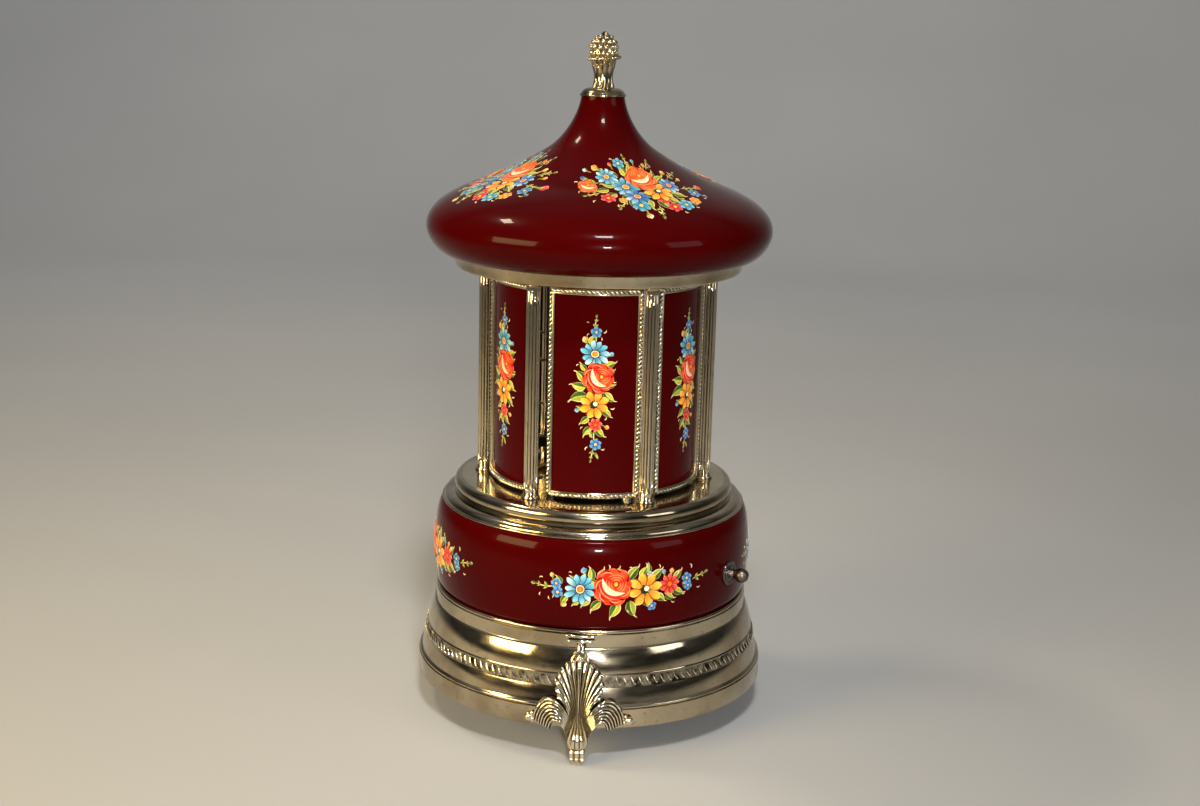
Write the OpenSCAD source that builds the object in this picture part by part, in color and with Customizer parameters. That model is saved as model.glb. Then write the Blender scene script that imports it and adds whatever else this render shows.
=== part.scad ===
// Carousel music box: six doors swing out together between the columns when the side knob is pulled.
// Millimetres, +Z up. The origin is on the table under the middle of the carousel.
// Azimuth 0 faces the front (-Y) and grows towards +X, so at(a) turns a front piece to azimuth a.

/* [Base] */
// Outer radius of the base skirt
skirt_r = 83.6; // [83:0.1:84]
// Height of the underside of the base above the table
skirt_z = 14.8; // [14:0.1:15]
// Height at which the drum stands on the base
base_top_z = 58.4; // [58.4:0.1:58.6]
// Wall thickness of the pressed metal shells
wall = 1.5; // [1.2:0.1:1.6]

/* [Drum and gallery] */
// Height of the drum's upper rim
drum_top_z = 100; // [100:0.1:100.2]
// Radius of the drum at its middle
drum_r = 76; // [75.5:0.1:76.5]
// Height of the polished deck under the doors
deck_z = 111; // [110.8:0.1:111]
// Outer radius of the deck
deck_r = 63.2; // [63:0.1:63.3]

/* [Carousel] */
// Radius of the circle through the column centres
column_pcr = 52.9; // [52.9:0.1:53.2]
// Radius of a column shaft
column_r = 3.3; // [3:0.1:3.3]
// Outer radius of the closed doors
door_r = 50; // [49.6:0.1:50]
// Azimuth of a door's free edge from the middle of its bay
door_from = -23.4; // [-23.4:0.1:-21]
// Azimuth of a door's hinge edge from the middle of its bay
door_to = 27.5; // [27:0.1:27.5]
// Height of a door's lower edge
door_z0 = 112.4; // [112.4:0.1:113]
// Height of a door's upper edge
door_z1 = 208.9; // [208:0.1:208.9]
// Radius on which the door pivots stand
pivot_pcr = 46.5; // [46.3:0.1:46.5]
// Azimuth of a door pivot from the middle of its bay
pivot_az = 22; // [21.8:0.1:22.2]

/* [Roof] */
// Height of the underside of the roof
roof_z = 212; // [212:0.1:212.3]
// Greatest radius of the onion dome
dome_r = 80.8; // [80:0.1:81]
// Overall height of the object
total_h = 320; // [318:1:322]

/* [Mechanism] */
// Swing of the doors in degrees
door_swing = 90; // [80:1:90]
// Turn of the drive plate in degrees for the full swing
plate_turn = 9; // [9:0.5:10]
// Travel of the pull knob
pull_travel = 5; // [4:0.5:5]
// Azimuth of the pull knob
knob_az = 60; // [58:1:62]
// Height of the pull rod
rod_z = 76; // [75:0.5:78]
// Radial clearance of the shafts in their bores
running = 0.05; // [0.03:0.01:0.08]

/* [Hidden] */
$fn = 96;
bays = 6;
feet = 3;
bay_angle = 360 / bays;
foot_angle = 360 / feet;
sheet = 1;
fit_gap = 0.05;
trim_w = 2.9;
trim_proud = 1.2;
panel_r = door_r - trim_proud;
panel_in = panel_r - sheet;
trim_az = trim_w / door_r * 180 / PI;
rim_flange_r = 66;
bush_r = 4;
foot_bore_r = 70;
rack_in = 37.5;
rack_out = panel_in - fit_gap;
rack_from = -21;
rack_to = 24.6;
rack_sheet = 0.8;
slot_r = 4.2;
slot_pcr = 42.4;
slot_pitch = 13.2;
slot_first = -15.6;
slot_count = 3;
tray_z = 116;
shelf_low_z = 136;
shelf_high_z = 172;
shaft_r = 1.2;
crank_arm = 5;
crank_pin_r = 1;
// Where a door's crank pin lies when the doors are shut, and at its innermost
pin_rest_r = norm([pivot_pcr - crank_arm * cos(door_swing / 2), crank_arm * sin(door_swing / 2)]);
pin_inner_r = pivot_pcr - crank_arm;
pin_slot_az = pivot_az + plate_turn / 2;
pin_slack = 0.35;
rod_slack = 0.3;
crank_z = 103.4;
crank_t = 2;
plate_z = 100.5;
plate_t = 2;
plate_r = 50;
plate_play = 0.2;
bush_hub_r = 6;
bush_head_r = 9;
tube_wall = 1.2;
deck_t = 2;
top_plate_t = 1.5;
top_plate_r = 60;
roof_seat_z = 218.4;
rod_r = 2;
post_pcr = 39;
stop_wire_r = 0.6;
stop_wire_pcr = 51.3;
stop_wire_z = 54.5;
knob_pcr = 82.9;
tie_r = 2;
post_across = 30;
board_z = 16.3;
board_t = 2;
bed_z = board_z + board_t;
bed_t = 3;
barrel_r = 14;
barrel_z = 22.3;
barrel_top_z = 36;
arbor_r = 1.5;
face_teeth = 30;
face_gear_r = 12;
pinion_teeth = 15;
pinion_r = 6;
cyl_axis_z = barrel_top_z + 0.75 + pinion_r;
cyl_shaft_r = 1.2;
cyl_r = 6.5;
cyl_x0 = 19.5;
cyl_x1 = 38.5;
comb_notes = 18;
comb_screw_x = [24, 34];
comb_screw_y = 18;
gear_module = 0.5;
wheel_teeth = 36;
gov_pinion_teeth = 12;
worm_wheel_teeth = 18;
worm_starts = 3;
worm_pitch_r = 2;
pivot_wire_r = 0.8;
worm_core_r = 1.35;
gov_y = -(wheel_teeth + gov_pinion_teeth) * gear_module / 2;
worm_wheel_x = 48.6;
worm_y = gov_y - worm_wheel_teeth * gear_module / 2 - worm_pitch_r;
screw_r = 1.5;
screw_hole_r = 1.55;
screw_head_r = 2.8;
screw_head_t = 1.6;
foot_screw_z = 19.5;
boss_pcr = 73;
boss_r = 4;
boss_h = 12;

// ---- helpers ----

module at(a) {
  rotate([0, 0, a]) children();
}

// A point of the cubic Bezier curve a, b, c, d at t
function bezier_at(a, b, c, d, t) =
  pow(1 - t, 3) * a + 3 * t * pow(1 - t, 2) * b + 3 * t * t * (1 - t) * c + pow(t, 3) * d;

function bezier(a, b, c, d, n = 8) = [for (i = [0:n]) bezier_at(a, b, c, d, i / n)];

// A round bead in a profile: centre, radius and the angles it runs between
function bead(cx, cz, r, a0, a1, n = 6) =
  [for (i = [0:n]) let (a = a0 + (a1 - a0) * i / n) [cx + r * cos(a), cz + r * sin(a)]];

// The unit normal of a profile at point i, from its neighbours
function normal_at(p, i) =
  let (d = p[min(i + 1, len(p) - 1)] - p[max(i - 1, 0)]) [-d[1], d[0]] / norm(d);

// A profile moved by t along its normals
function inset(p, t) = [for (i = [0:len(p) - 1]) p[i] + t * normal_at(p, i)];

function reversed(p) = [for (i = [len(p) - 1:-1:0]) p[i]];

module spun(points) {
  rotate_extrude() polygon(points);
}

// A curved wall between two radii, two heights and two azimuths
module curved_wall(r0, r1, z0, z1, a0, a1) {
  rotate_extrude(angle = a1 - a0, start = a0 - 90)
    translate([r0, z0]) square([r1 - r0, z1 - z0]);
}

// A gear of straight-flanked teeth along Z
module spur_gear(teeth, m, width, share = 0.38) {
  pitch_r = teeth * m / 2;
  root_r = pitch_r - 1.15 * m;
  tip_r = pitch_r + 0.95 * m;
  half = 180 / teeth * share;
  linear_extrude(width)
    polygon([for (i = [0:teeth - 1]) each
      let (a = 360 * i / teeth) [
        [root_r * cos(a - 1.7 * half), root_r * sin(a - 1.7 * half)],
        [tip_r * cos(a - 0.5 * half), tip_r * sin(a - 0.5 * half)],
        [tip_r * cos(a + 0.5 * half), tip_r * sin(a + 0.5 * half)],
        [root_r * cos(a + 1.7 * half), root_r * sin(a + 1.7 * half)]
      ]
    ]);
}

// A pan-head screw, its shank upwards from the underside of the head
module pan_screw(length) {
  head = [[0, -screw_head_t], [screw_head_r, -screw_head_t], [screw_head_r, 0]];
  spun(concat(head, [[screw_r, 0], [screw_r, length], [0, length]]));
}

// ---- base ----

function base_outline() = concat(
  [[skirt_r - 1, skirt_z], [skirt_r, skirt_z + 1], [skirt_r - 0.2, 23.5]],
  bead(82.2, 24.5, 0.9, -60, 60),
  bezier([81.9, 25.8], [81.5, 27.6], [81, 30.4], [80.2, 32.7], 6),
  [[79.3, 38.4]],
  bezier([78.9, 38.8], [78.5, 42], [77.6, 46.4], [75.7, 50], 8),
  [[75, 50.4], [75, 56.4]],
  bead(73.9, 57.4, 1, -80, 60)
);

module base_moulding() color([0.78, 0.74, 0.66]) {
  inner = [
    [73.2 - wall, base_top_z - wall], [74.9 - wall, 50], [77.4 - wall, 46],
    [78.4 - wall, 34], [81.2 - wall, 26]
  ];
  difference() {
    union() {
      spun(concat(
        base_outline(),
        [[73.6, base_top_z], [rim_flange_r, base_top_z], [rim_flange_r, base_top_z - wall]],
        inner,
        [[skirt_r - wall, 22], [skirt_r - wall, skirt_z]]
      ));
      for (i = [0:feet - 1])
        at(foot_angle / 2 + i * foot_angle) screw_boss();
    }
    for (i = [0:feet - 1]) {
      at(i * foot_angle)
        translate([0, -foot_bore_r, foot_screw_z]) rotate([90, 0, 0]) cylinder(r = screw_hole_r, h = 20);
      at(foot_angle / 2 + i * foot_angle)
        translate([0, -boss_pcr, bed_z - 1]) cylinder(r = screw_hole_r, h = boss_h);
    }
  }
}

// A boss with a web to the wall, into which a board screw bites
module screw_boss() {
  web_r = skirt_r - 1.6;
  translate([0, -boss_pcr, bed_z]) cylinder(r = boss_r, h = boss_h);
  translate([-boss_r / 2, -web_r, bed_z + 0.5]) cube([boss_r, web_r - boss_pcr, 4]);
}

module bottom_board() color([0.25, 0.18, 0.12])
  difference() {
    key_hole_r = 5;
    translate([0, 0, board_z]) cylinder(r = skirt_r - wall - 0.2, h = board_t);
    translate([0, 0, board_z - 1]) cylinder(r = key_hole_r, h = board_t + 2);
    for (i = [0:feet - 1]) {
      at(foot_angle / 2 + i * foot_angle)
        translate([0, -boss_pcr, board_z - 1]) cylinder(r = screw_hole_r, h = board_t + 2);
      at(i * foot_angle)
        translate([-screw_head_r - 0.5, -skirt_r, board_z - 1]) cube([2 * screw_head_r + 1, 8, board_t + 2]);
    }
    bedplate_screw_places() translate([0, 0, board_z - 1]) cylinder(r = screw_hole_r, h = board_t + 2);
  }

// ---- feet ----

// Half the leaf's width at a height
function leaf_half(z) = z < 20 ? 4.5 + (z - 8) * 0.15 : 6.3 + 4.6 * sin(180 * pow((z - 20) / 30, 0.75));

// A foot: a leaf that leans on the base, side scrolls with ball ends, and a toe
module foot() color([0.8, 0.76, 0.68]) {
  toe_r = skirt_r + 3;
  scroll_az = 14;
  leaf_side = concat(
    [[skirt_r + 0.2, 12], [skirt_r + 0.2, 25]],
    [[skirt_r - 0.6, 30], [skirt_r - 2.6, 40], [skirt_r - 5, 50]],
    [[skirt_r - 3.2, 51], [skirt_r - 0.2, 42], [skirt_r + 1.6, 32]],
    [[skirt_r + 3.2, 22], [skirt_r + 4.8, 16], [skirt_r + 5.2, 12]]
  );
  leaf_front = concat(
    [for (z = [12:2:50]) [leaf_half(z), z]],
    [for (z = [50:-2:12]) [-leaf_half(z), z]]
  );
  difference() {
    union() {
      intersection() {
        rotate([90, 0, -90]) linear_extrude(24, center = true) polygon(leaf_side);
        rotate([90, 0, 0]) linear_extrude(120) polygon(leaf_front);
      }
      translate([0, -toe_r, 0]) cylinder(r1 = 4.4, r2 = 3.2, h = 14);
      curved_wall(skirt_r + 0.2, skirt_r + 2.6, 16.5, 21.5, -scroll_az, scroll_az);
      for (side = [-1, 1])
        at(side * (scroll_az + 0.4)) translate([0, -skirt_r - 2.5, 19]) sphere(r = 2.3);
    }
    translate([0, -foot_bore_r, foot_screw_z]) rotate([90, 0, 0])
      cylinder(r = screw_hole_r, h = skirt_r + 2 - foot_bore_r);
  }
}

module foot_1() foot();
module foot_2() at(foot_angle) foot();
module foot_3() at(2 * foot_angle) foot();

// ---- drum and gallery ----

module drum() color([0.3, 0.01, 0.03]) {
  outline = concat(
    [[73, base_top_z], [73.8, base_top_z + 0.8]],
    bezier([74.6, base_top_z + 2.2], [drum_r + 0.4, 70], [drum_r + 0.6, 84], [74.6, 94.6], 12),
    bezier([74.2, 96], [73.4, 98.4], [73, 99.2], [71.6, drum_top_z], 4)
  );
  inner = reversed(inset(outline, wall));
  flange_r = 62;
  difference() {
    spun(concat(
      outline,
      [[flange_r, drum_top_z], [flange_r, drum_top_z - wall]],
      [[70.8, drum_top_z - wall]],
      [for (p = inner) if (p[1] < drum_top_z - 3 && p[1] > base_top_z + wall + 1) p],
      [[72, base_top_z + wall], [rim_flange_r, base_top_z + wall], [rim_flange_r, base_top_z]]
    ));
    at(knob_az) translate([0, -60, rod_z]) rotate([90, 0, 0]) cylinder(r = bush_r + fit_gap, h = 30);
  }
}

module gallery_ring() color([0.78, 0.74, 0.66]) {
  spun(concat(
    [[rim_flange_r, drum_top_z], [72, drum_top_z]],
    bead(72, drum_top_z + 0.5, 0.5, -60, 60, 4),
    bezier([71.6, 101.2], [71.4, 103], [69, 104.2], [66.4, 104.1], 7),
    [[66.1, 104.6]],
    bezier([66.3, 105.4], [67.2, 107.6], [66.4, deck_z - 0.2], [deck_r + 0.3, deck_z], 7),
    [[deck_r + 0.05, deck_z], [deck_r + 0.05, deck_z - deck_t]],
    [[57, deck_z - deck_t], [57, deck_z - deck_t - wall], [64.6, deck_z - deck_t - wall], [66, 103]]
  ));
}

module deck_plate() color([0.8, 0.77, 0.7])
  difference() {
    translate([0, 0, deck_z - deck_t]) cylinder(r = deck_r, h = deck_t);
    translate([0, 0, deck_z - deck_t - 1]) cylinder(r = tie_r + 0.1, h = deck_t + 2);
    for (i = [0:bays - 1])
      at(i * bay_angle) {
        at(pivot_az) translate([0, -pivot_pcr, deck_z - deck_t - 1])
          cylinder(r = shaft_r + running, h = deck_t + 2);
        at(bay_angle / 2) translate([0, -column_pcr, deck_z - deck_t - 1])
          cylinder(r = screw_hole_r, h = deck_t + 2);
      }
  }

module centre_bush() color([0.75, 0.6, 0.3])
  difference() {
    head_h = deck_z - deck_t - plate_z - plate_t - plate_play;
    union() {
      translate([0, 0, plate_z - plate_play])
        cylinder(r = bush_hub_r, h = deck_z - deck_t - plate_z + plate_play);
      translate([0, 0, plate_z + plate_t + plate_play]) cylinder(r = bush_head_r, h = head_h);
    }
    translate([0, 0, plate_z - 1]) cylinder(r = tie_r + 0.1, h = 12);
  }

module centre_post() color([0.82, 0.8, 0.75])
  difference() {
    corner_r = post_across / 2 / cos(30);
    translate([0, 0, deck_z]) cylinder(r = corner_r, h = roof_z - deck_z, $fn = 6);
    translate([0, 0, deck_z - 1]) cylinder(r = corner_r - tube_wall, h = roof_z - deck_z + 2, $fn = 6);
  }

// The rod that clamps roof, post and deck together: hexagon head, washer, and a thread in the finial
module tie_rod() color([0.6, 0.6, 0.58]) {
  washer_t = 1.5;
  washer_z = plate_z - plate_play - washer_t;
  head_h = 3.2;
  top_z = 300;
  translate([0, 0, washer_z]) cylinder(r = bush_head_r, h = washer_t);
  translate([0, 0, washer_z - head_h]) cylinder(r = 4, h = head_h, $fn = 6);
  translate([0, 0, washer_z - head_h]) cylinder(r = tie_r, h = top_z - washer_z + head_h);
}

// ---- columns and roof ----

module column() color([0.8, 0.76, 0.68])
  translate([0, -column_pcr, deck_z])
    difference() {
      h = roof_z - deck_z;
      bead_h = 1.2;
      union() {
        cylinder(r = column_r, h = h);
        for (end = [[0, 1], [bead_h, 0.25], [h - 2 * bead_h, 0.25], [h - bead_h, 1]])
          translate([0, 0, end[0]]) cylinder(r = column_r + end[1], h = bead_h);
      }
      translate([0, 0, -1]) cylinder(r = screw_hole_r, h = 9);
      translate([0, 0, h - 8]) cylinder(r = screw_hole_r, h = 9);
    }

module column_1() at(30) column();
module column_2() at(90) column();
module column_3() at(150) column();
module column_4() at(210) column();
module column_5() at(270) column();
module column_6() at(330) column();

module column_screws() color([0.7, 0.7, 0.68])
  for (i = [0:bays - 1])
    at((i + 0.5) * bay_angle) {
      translate([0, -column_pcr, deck_z - deck_t]) pan_screw(7);
      translate([0, -column_pcr, roof_z + top_plate_t]) rotate([180, 0, 0]) pan_screw(7);
    }

module top_plate() color([0.8, 0.77, 0.7])
  difference() {
    translate([0, 0, roof_z]) cylinder(r = top_plate_r, h = top_plate_t);
    translate([0, 0, roof_z - 1]) cylinder(r = tie_r + 0.1, h = top_plate_t + 2);
    for (i = [0:bays - 1])
      at(i * bay_angle) {
        at(pivot_az) translate([0, -pivot_pcr, roof_z - 1])
          cylinder(r = shaft_r + running, h = top_plate_t + 2);
        at(bay_angle / 2) translate([0, -column_pcr, roof_z - 1])
          cylinder(r = screw_hole_r, h = top_plate_t + 2);
      }
  }

module roof_ring() color([0.78, 0.74, 0.66]) {
  ledge_z = roof_z + top_plate_t;
  spun(concat(
    [[top_plate_r + 0.1, roof_z], [65.6, roof_z]],
    bead(65.9, roof_z + 1.2, 1.2, -85, 0, 4),
    [[67.4, roof_z + 2.6], [67.6, roof_seat_z - 1], [68, roof_seat_z - 0.4], [68, roof_seat_z], [66, roof_seat_z]],
    [[65.8, ledge_z + wall], [58, ledge_z + wall], [58, ledge_z], [top_plate_r + 0.1, ledge_z]]
  ));
}

function dome_outline() = concat(
  bezier([68.7, roof_seat_z], [74.5, 216.4], [dome_r, 225], [dome_r, 230.8], 12),
  bezier([dome_r, 230.8], [dome_r, 242.1], [64.1, 248.3], [53, 252.3], 14),
  bezier([53, 252.3], [44.2, 255.4], [30.5, 263.1], [24.6, 267.2], 8),
  bezier([24.6, 267.2], [17.3, 272.2], [11.1, 282.1], [10, 290.8], 10)
);

module roof_dome() color([0.3, 0.01, 0.03]) {
  outer = [for (i = [0:len(dome_outline()) - 1])
    if (i == 0 || norm(dome_outline()[i] - dome_outline()[i - 1]) > 0.01) dome_outline()[i]];
  inner = reversed([for (p = inset(outer, 1.2)) if (p[1] > roof_seat_z + 1.2 && p[1] < 289.4) p]);
  spun(concat(outer, [[tie_r + 0.5, 290.8], [tie_r + 0.5, 289.6]], inner, [[67, roof_seat_z]]));
}

module finial_cap() color([0.72, 0.62, 0.42])
  spun(concat(
    [[tie_r + 0.3, 290.8], [10.4, 290.8]],
    bead(10, 291.5, 0.7, -60, 60, 4),
    bezier([9.6, 292.4], [8.4, 293.4], [7, 294.4], [5.4, 294.6], 5),
    [[tie_r + 0.3, 294.6]]
  ));

module finial() color([0.72, 0.62, 0.42])
  difference() {
    union() {
      translate([0, 0, 294.6]) cylinder(r1 = 5, r2 = 4.2, h = 6);
      translate([0, 0, 300.6]) cylinder(r1 = 4.2, r2 = 5.2, h = 7);
      translate([0, 0, 307.2]) cylinder(r = 7.2, h = 2.6);
      translate([0, 0, total_h - 6.9]) sphere(r = 6.9);
      translate([0, 0, 308]) cylinder(r = 6, h = total_h - 308 - 5);
    }
    translate([0, 0, 294]) cylinder(r = tie_r + fit_gap, h = 8);
  }

// ---- doors ----

module door_panel() color([0.3, 0.01, 0.03])
  curved_wall(panel_in, panel_r, door_z0 + 0.5, door_z1 - 0.5, door_from + 0.5, door_to - 0.5);

// The plated frame is four curved bars: the sheet shows between them
module door_trim() color([0.8, 0.76, 0.68])
  difference() {
    curved_wall(panel_r + fit_gap, door_r, door_z0, door_z1, door_from, door_to);
    curved_wall(
      panel_r - 1, door_r + 1, door_z0 + trim_w, door_z1 - trim_w,
      door_from + trim_az, door_to - trim_az
    );
  }

// The rack soldered inside a door: a back sheet, a tray and two notched shelves, pinned on the pivot
module door_rack() color([0.82, 0.79, 0.7])
  difference() {
    back_from = -18;
    back_to = 12;
    lip_to = 14;
    lip_h = 5;
    cut_h = 60;
    union() {
      curved_wall(rack_out - rack_sheet, rack_out, tray_z, shelf_high_z + sheet, back_from, back_to);
      curved_wall(rack_in, rack_out, tray_z, tray_z + sheet, rack_from, rack_to);
      curved_wall(rack_in, rack_in + rack_sheet, tray_z, tray_z + lip_h, rack_from, lip_to);
      curved_wall(rack_in, rack_out, shelf_low_z, shelf_low_z + sheet, rack_from, rack_to);
      curved_wall(rack_in, rack_out, shelf_high_z, shelf_high_z + sheet, rack_from, rack_to);
    }
    for (i = [0:slot_count - 1])
      at(slot_first + i * slot_pitch) {
        translate([0, -slot_pcr, shelf_low_z - 1]) cylinder(r = slot_r, h = cut_h);
        translate([-slot_r, -slot_pcr, shelf_low_z - 1]) cube([2 * slot_r, 12, cut_h]);
      }
    at(pivot_az) translate([0, -pivot_pcr, tray_z - 1]) cylinder(r = shaft_r, h = cut_h);
  }

// A pivot shaft with its crank under the deck and the crank's pin in the drive plate
module door_pivot() color([0.65, 0.65, 0.62])
  at(pivot_az) translate([0, -pivot_pcr, 0]) {
    pin_turn = -door_swing / 2;
    arm_w = 3.2;
    collar_r = 2.2;
    collar_h = 2;
    low_collar_h = door_z0 - deck_z - 0.4;
    translate([0, 0, crank_z]) cylinder(r = shaft_r, h = roof_z + top_plate_t + 1 - crank_z);
    translate([0, 0, crank_z]) cylinder(r = 2.4, h = crank_t);
    rotate([0, 0, pin_turn]) {
      translate([-arm_w / 2, 0, crank_z]) cube([arm_w, crank_arm, crank_t]);
      translate([0, crank_arm, crank_z]) cylinder(r = arm_w / 2, h = crank_t);
      translate([0, crank_arm, plate_z - 0.5]) cylinder(r = crank_pin_r, h = crank_z - plate_z + 0.5);
    }
    for (collar = [[deck_z + 0.2, low_collar_h], [door_z1 + 0.6, collar_h]])
      translate([0, 0, collar[0]]) cylinder(r = collar_r, h = collar[1]);
  }

module door_panel_1() door_panel();
module door_panel_2() at(60) door_panel();
module door_panel_3() at(120) door_panel();
module door_panel_4() at(180) door_panel();
module door_panel_5() at(240) door_panel();
module door_panel_6() at(300) door_panel();
module door_trim_1() door_trim();
module door_trim_2() at(60) door_trim();
module door_trim_3() at(120) door_trim();
module door_trim_4() at(180) door_trim();
module door_trim_5() at(240) door_trim();
module door_trim_6() at(300) door_trim();
module door_rack_1() door_rack();
module door_rack_2() at(60) door_rack();
module door_rack_3() at(120) door_rack();
module door_rack_4() at(180) door_rack();
module door_rack_5() at(240) door_rack();
module door_rack_6() at(300) door_rack();
module door_pivot_1() door_pivot();
module door_pivot_2() at(60) door_pivot();
module door_pivot_3() at(120) door_pivot();
module door_pivot_4() at(180) door_pivot();
module door_pivot_5() at(240) door_pivot();
module door_pivot_6() at(300) door_pivot();

// ---- door drive ----

// A disc under the deck: its radial slots swing the six cranks, and its slant slot takes the pull rod's post
module drive_plate() color([0.7, 0.6, 0.35])
  difference() {
    window_pcr = 24;
    window_r = 9;
    translate([0, 0, plate_z]) cylinder(r = plate_r, h = plate_t);
    translate([0, 0, plate_z - 1]) cylinder(r = bush_hub_r + running, h = plate_t + 2);
    for (i = [0:bays - 1])
      at(pin_slot_az + i * bay_angle)
        slot([0, -pin_rest_r - 0.1], [0, -pin_inner_r + 0.1], crank_pin_r + pin_slack);
    slot(
      polar(post_pcr, knob_az),
      polar(post_pcr + pull_travel, knob_az + plate_turn),
      rod_r + rod_slack
    );
    for (i = [0:feet - 1])
      at(i * foot_angle + 5) translate([0, -window_pcr, plate_z - 1]) cylinder(r = window_r, h = plate_t + 2);
  }

function polar(r, a) = [r * sin(a), -r * cos(a)];

// A straight slot with round ends through the drive plate
module slot(a, b, r) {
  d = b - a;
  translate([a[0], a[1], plate_z - 1]) {
    cylinder(r = r, h = plate_t + 2);
    rotate([0, 0, atan2(d[1], d[0])]) {
      translate([0, -r, 0]) cube([norm(d), 2 * r, plate_t + 2]);
      translate([norm(d), 0, 0]) cylinder(r = r, h = plate_t + 2);
    }
  }
}

// The pull rod, its post up into the drive plate, and the wire down to the governor
module pull_rod() color([0.66, 0.66, 0.63])
  at(knob_az) {
    inner_r = post_pcr - 3;
    translate([0, -inner_r, rod_z]) rotate([90, 0, 0]) cylinder(r = rod_r, h = knob_pcr + 0.5 - inner_r);
    translate([0, -post_pcr, rod_z]) cylinder(r = rod_r, h = plate_z + plate_t + 0.3 - rod_z);
    translate([0, -stop_wire_pcr, stop_wire_z]) cylinder(r = stop_wire_r, h = rod_z - stop_wire_z);
  }

module pull_knob() color([0.6, 0.55, 0.5])
  at(knob_az)
    translate([0, -knob_pcr, rod_z])
      difference() {
        union() {
          sphere(r = 3.4);
          translate([0, 4.4, 0]) rotate([90, 0, 0]) cylinder(r = 2.6, h = 4);
        }
        translate([0, 10, 0]) rotate([90, 0, 0]) cylinder(r = rod_r, h = 10.5);
      }

// The flanged bush that guides the pull rod, with its nut inside the drum
module knob_bush() color([0.72, 0.68, 0.6])
  at(knob_az)
    difference() {
      nut_pcr = 70.6;
      nut_h = 2;
      translate([0, 0, rod_z]) rotate([90, 0, 0]) {
        translate([0, 0, 64]) cylinder(r = bush_r, h = drum_r + 0.2 - 64);
        translate([0, 0, drum_r + 0.1]) cylinder(r1 = 5.8, r2 = 4.6, h = 1.3);
        translate([0, 0, nut_pcr]) cylinder(r = 6, h = nut_h, $fn = 6);
      }
      translate([0, -60, rod_z]) rotate([90, 0, 0]) cylinder(r = rod_r + running, h = 30);
    }

// ---- music movement ----

module bedplate_screw_places() {
  for (p = [[-16, 16], [-16, -22], [56, 16], [56, -26]])
    translate([p[0], p[1], 0]) children();
}

module bedplate() color([0.72, 0.66, 0.45])
  difference() {
    union() {
      translate([-20, -30, bed_z]) cube([80, 52, bed_t]);
      translate([16.5, -4, bed_z + 1]) cube([2, 8, cyl_axis_z + 4 - bed_z - 1]);
      translate([39.6, -4, bed_z + 1]) cube([1.8, 8, cyl_axis_z + 4 - bed_z - 1]);
      translate([19.5, 14, bed_z + 1]) cube([19, 7, cyl_axis_z - 0.5 - bed_z - 1]);
    }
    translate([0, 0, bed_z - 1]) cylinder(r = arbor_r + running, h = bed_t + 2);
    translate([10, 0, cyl_axis_z]) rotate([0, 90, 0]) cylinder(r = cyl_shaft_r + running, h = 40);
    bedplate_screw_places() translate([0, 0, bed_z - 1]) cylinder(r = screw_hole_r, h = bed_t + 2);
    for (x = comb_screw_x)
      translate([x, comb_screw_y, cyl_axis_z - 8]) cylinder(r = screw_hole_r, h = 10);
  }

module spring_barrel() color([0.78, 0.66, 0.36])
  difference() {
    union() {
      translate([0, 0, barrel_z]) cylinder(r = barrel_r, h = barrel_top_z - barrel_z);
      for (i = [0:face_teeth - 1])
        rotate([0, 0, i * 360 / face_teeth + 180 / face_teeth])
          translate([0, 0, barrel_top_z - 0.2]) face_tooth();
    }
    translate([0, 0, barrel_z - 1]) cylinder(r = arbor_r + running, h = 20);
  }

// One upright tooth of the barrel's face gear
module face_tooth() {
  root = 0.55;
  tip = 0.35;
  inner_x = face_gear_r - 0.7;
  rotate([90, 0, 90])
    translate([0, 0, inner_x])
      linear_extrude(1.4) polygon([[-root, 0], [root, 0], [tip, 1.5], [-tip, 1.5]]);
}

module melody_cylinder() color([0.8, 0.7, 0.42])
  translate([0, 0, cyl_axis_z]) rotate([0, 90, 0]) {
    translate([0, 0, 10.6]) cylinder(r = cyl_shaft_r, h = 44.6 - 10.6);
    translate([0, 0, face_gear_r - 0.7]) pinion();
    translate([0, 0, cyl_x0]) cylinder(r = cyl_r, h = cyl_x1 - cyl_x0);
    translate([0, 0, 42.2]) rotate([0, 0, 90 + 180 / wheel_teeth]) spur_gear(wheel_teeth, gear_module, 1.6);
    for (i = [0:comb_notes - 1])
      for (k = [0:2])
        translate([0, 0, note_x(i)])
          rotate([0, 0, 47 * i + 120 * k]) rotate([0, 90, 0]) cylinder(r = 0.2, h = cyl_r + 0.7, $fn = 6);
  }

function note_x(i) = cyl_x0 + 1 + i * (cyl_x1 - cyl_x0 - 2) / (comb_notes - 1);

// The bevel pinion that the barrel's face teeth drive
module pinion() {
  root_r = pinion_r - 0.85;
  tip_r = pinion_r + 0.6;
  linear_extrude(1.4)
    polygon([for (i = [0:pinion_teeth - 1]) each
      let (a = 360 * i / pinion_teeth) [
        [root_r * cos(a - 7), root_r * sin(a - 7)],
        [tip_r * cos(a - 2.8), tip_r * sin(a - 2.8)],
        [tip_r * cos(a + 2.8), tip_r * sin(a + 2.8)],
        [root_r * cos(a + 7), root_r * sin(a + 7)]
      ]
    ]);
}

module comb() color([0.72, 0.73, 0.75]) {
  tip_y = cyl_r + 1.1;
  z = cyl_axis_z - 0.5;
  difference() {
    union() {
      translate([cyl_x0, 13, z]) cube([cyl_x1 - cyl_x0, 8, 1]);
      for (i = [0:comb_notes - 1])
        translate([note_x(i) - 0.35, tip_y, z]) cube([0.7, 13.5 - tip_y, 1]);
    }
    for (x = comb_screw_x)
      translate([x, comb_screw_y, z - 1]) cylinder(r = screw_hole_r, h = 3);
  }
}

// ---- governor ----

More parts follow.
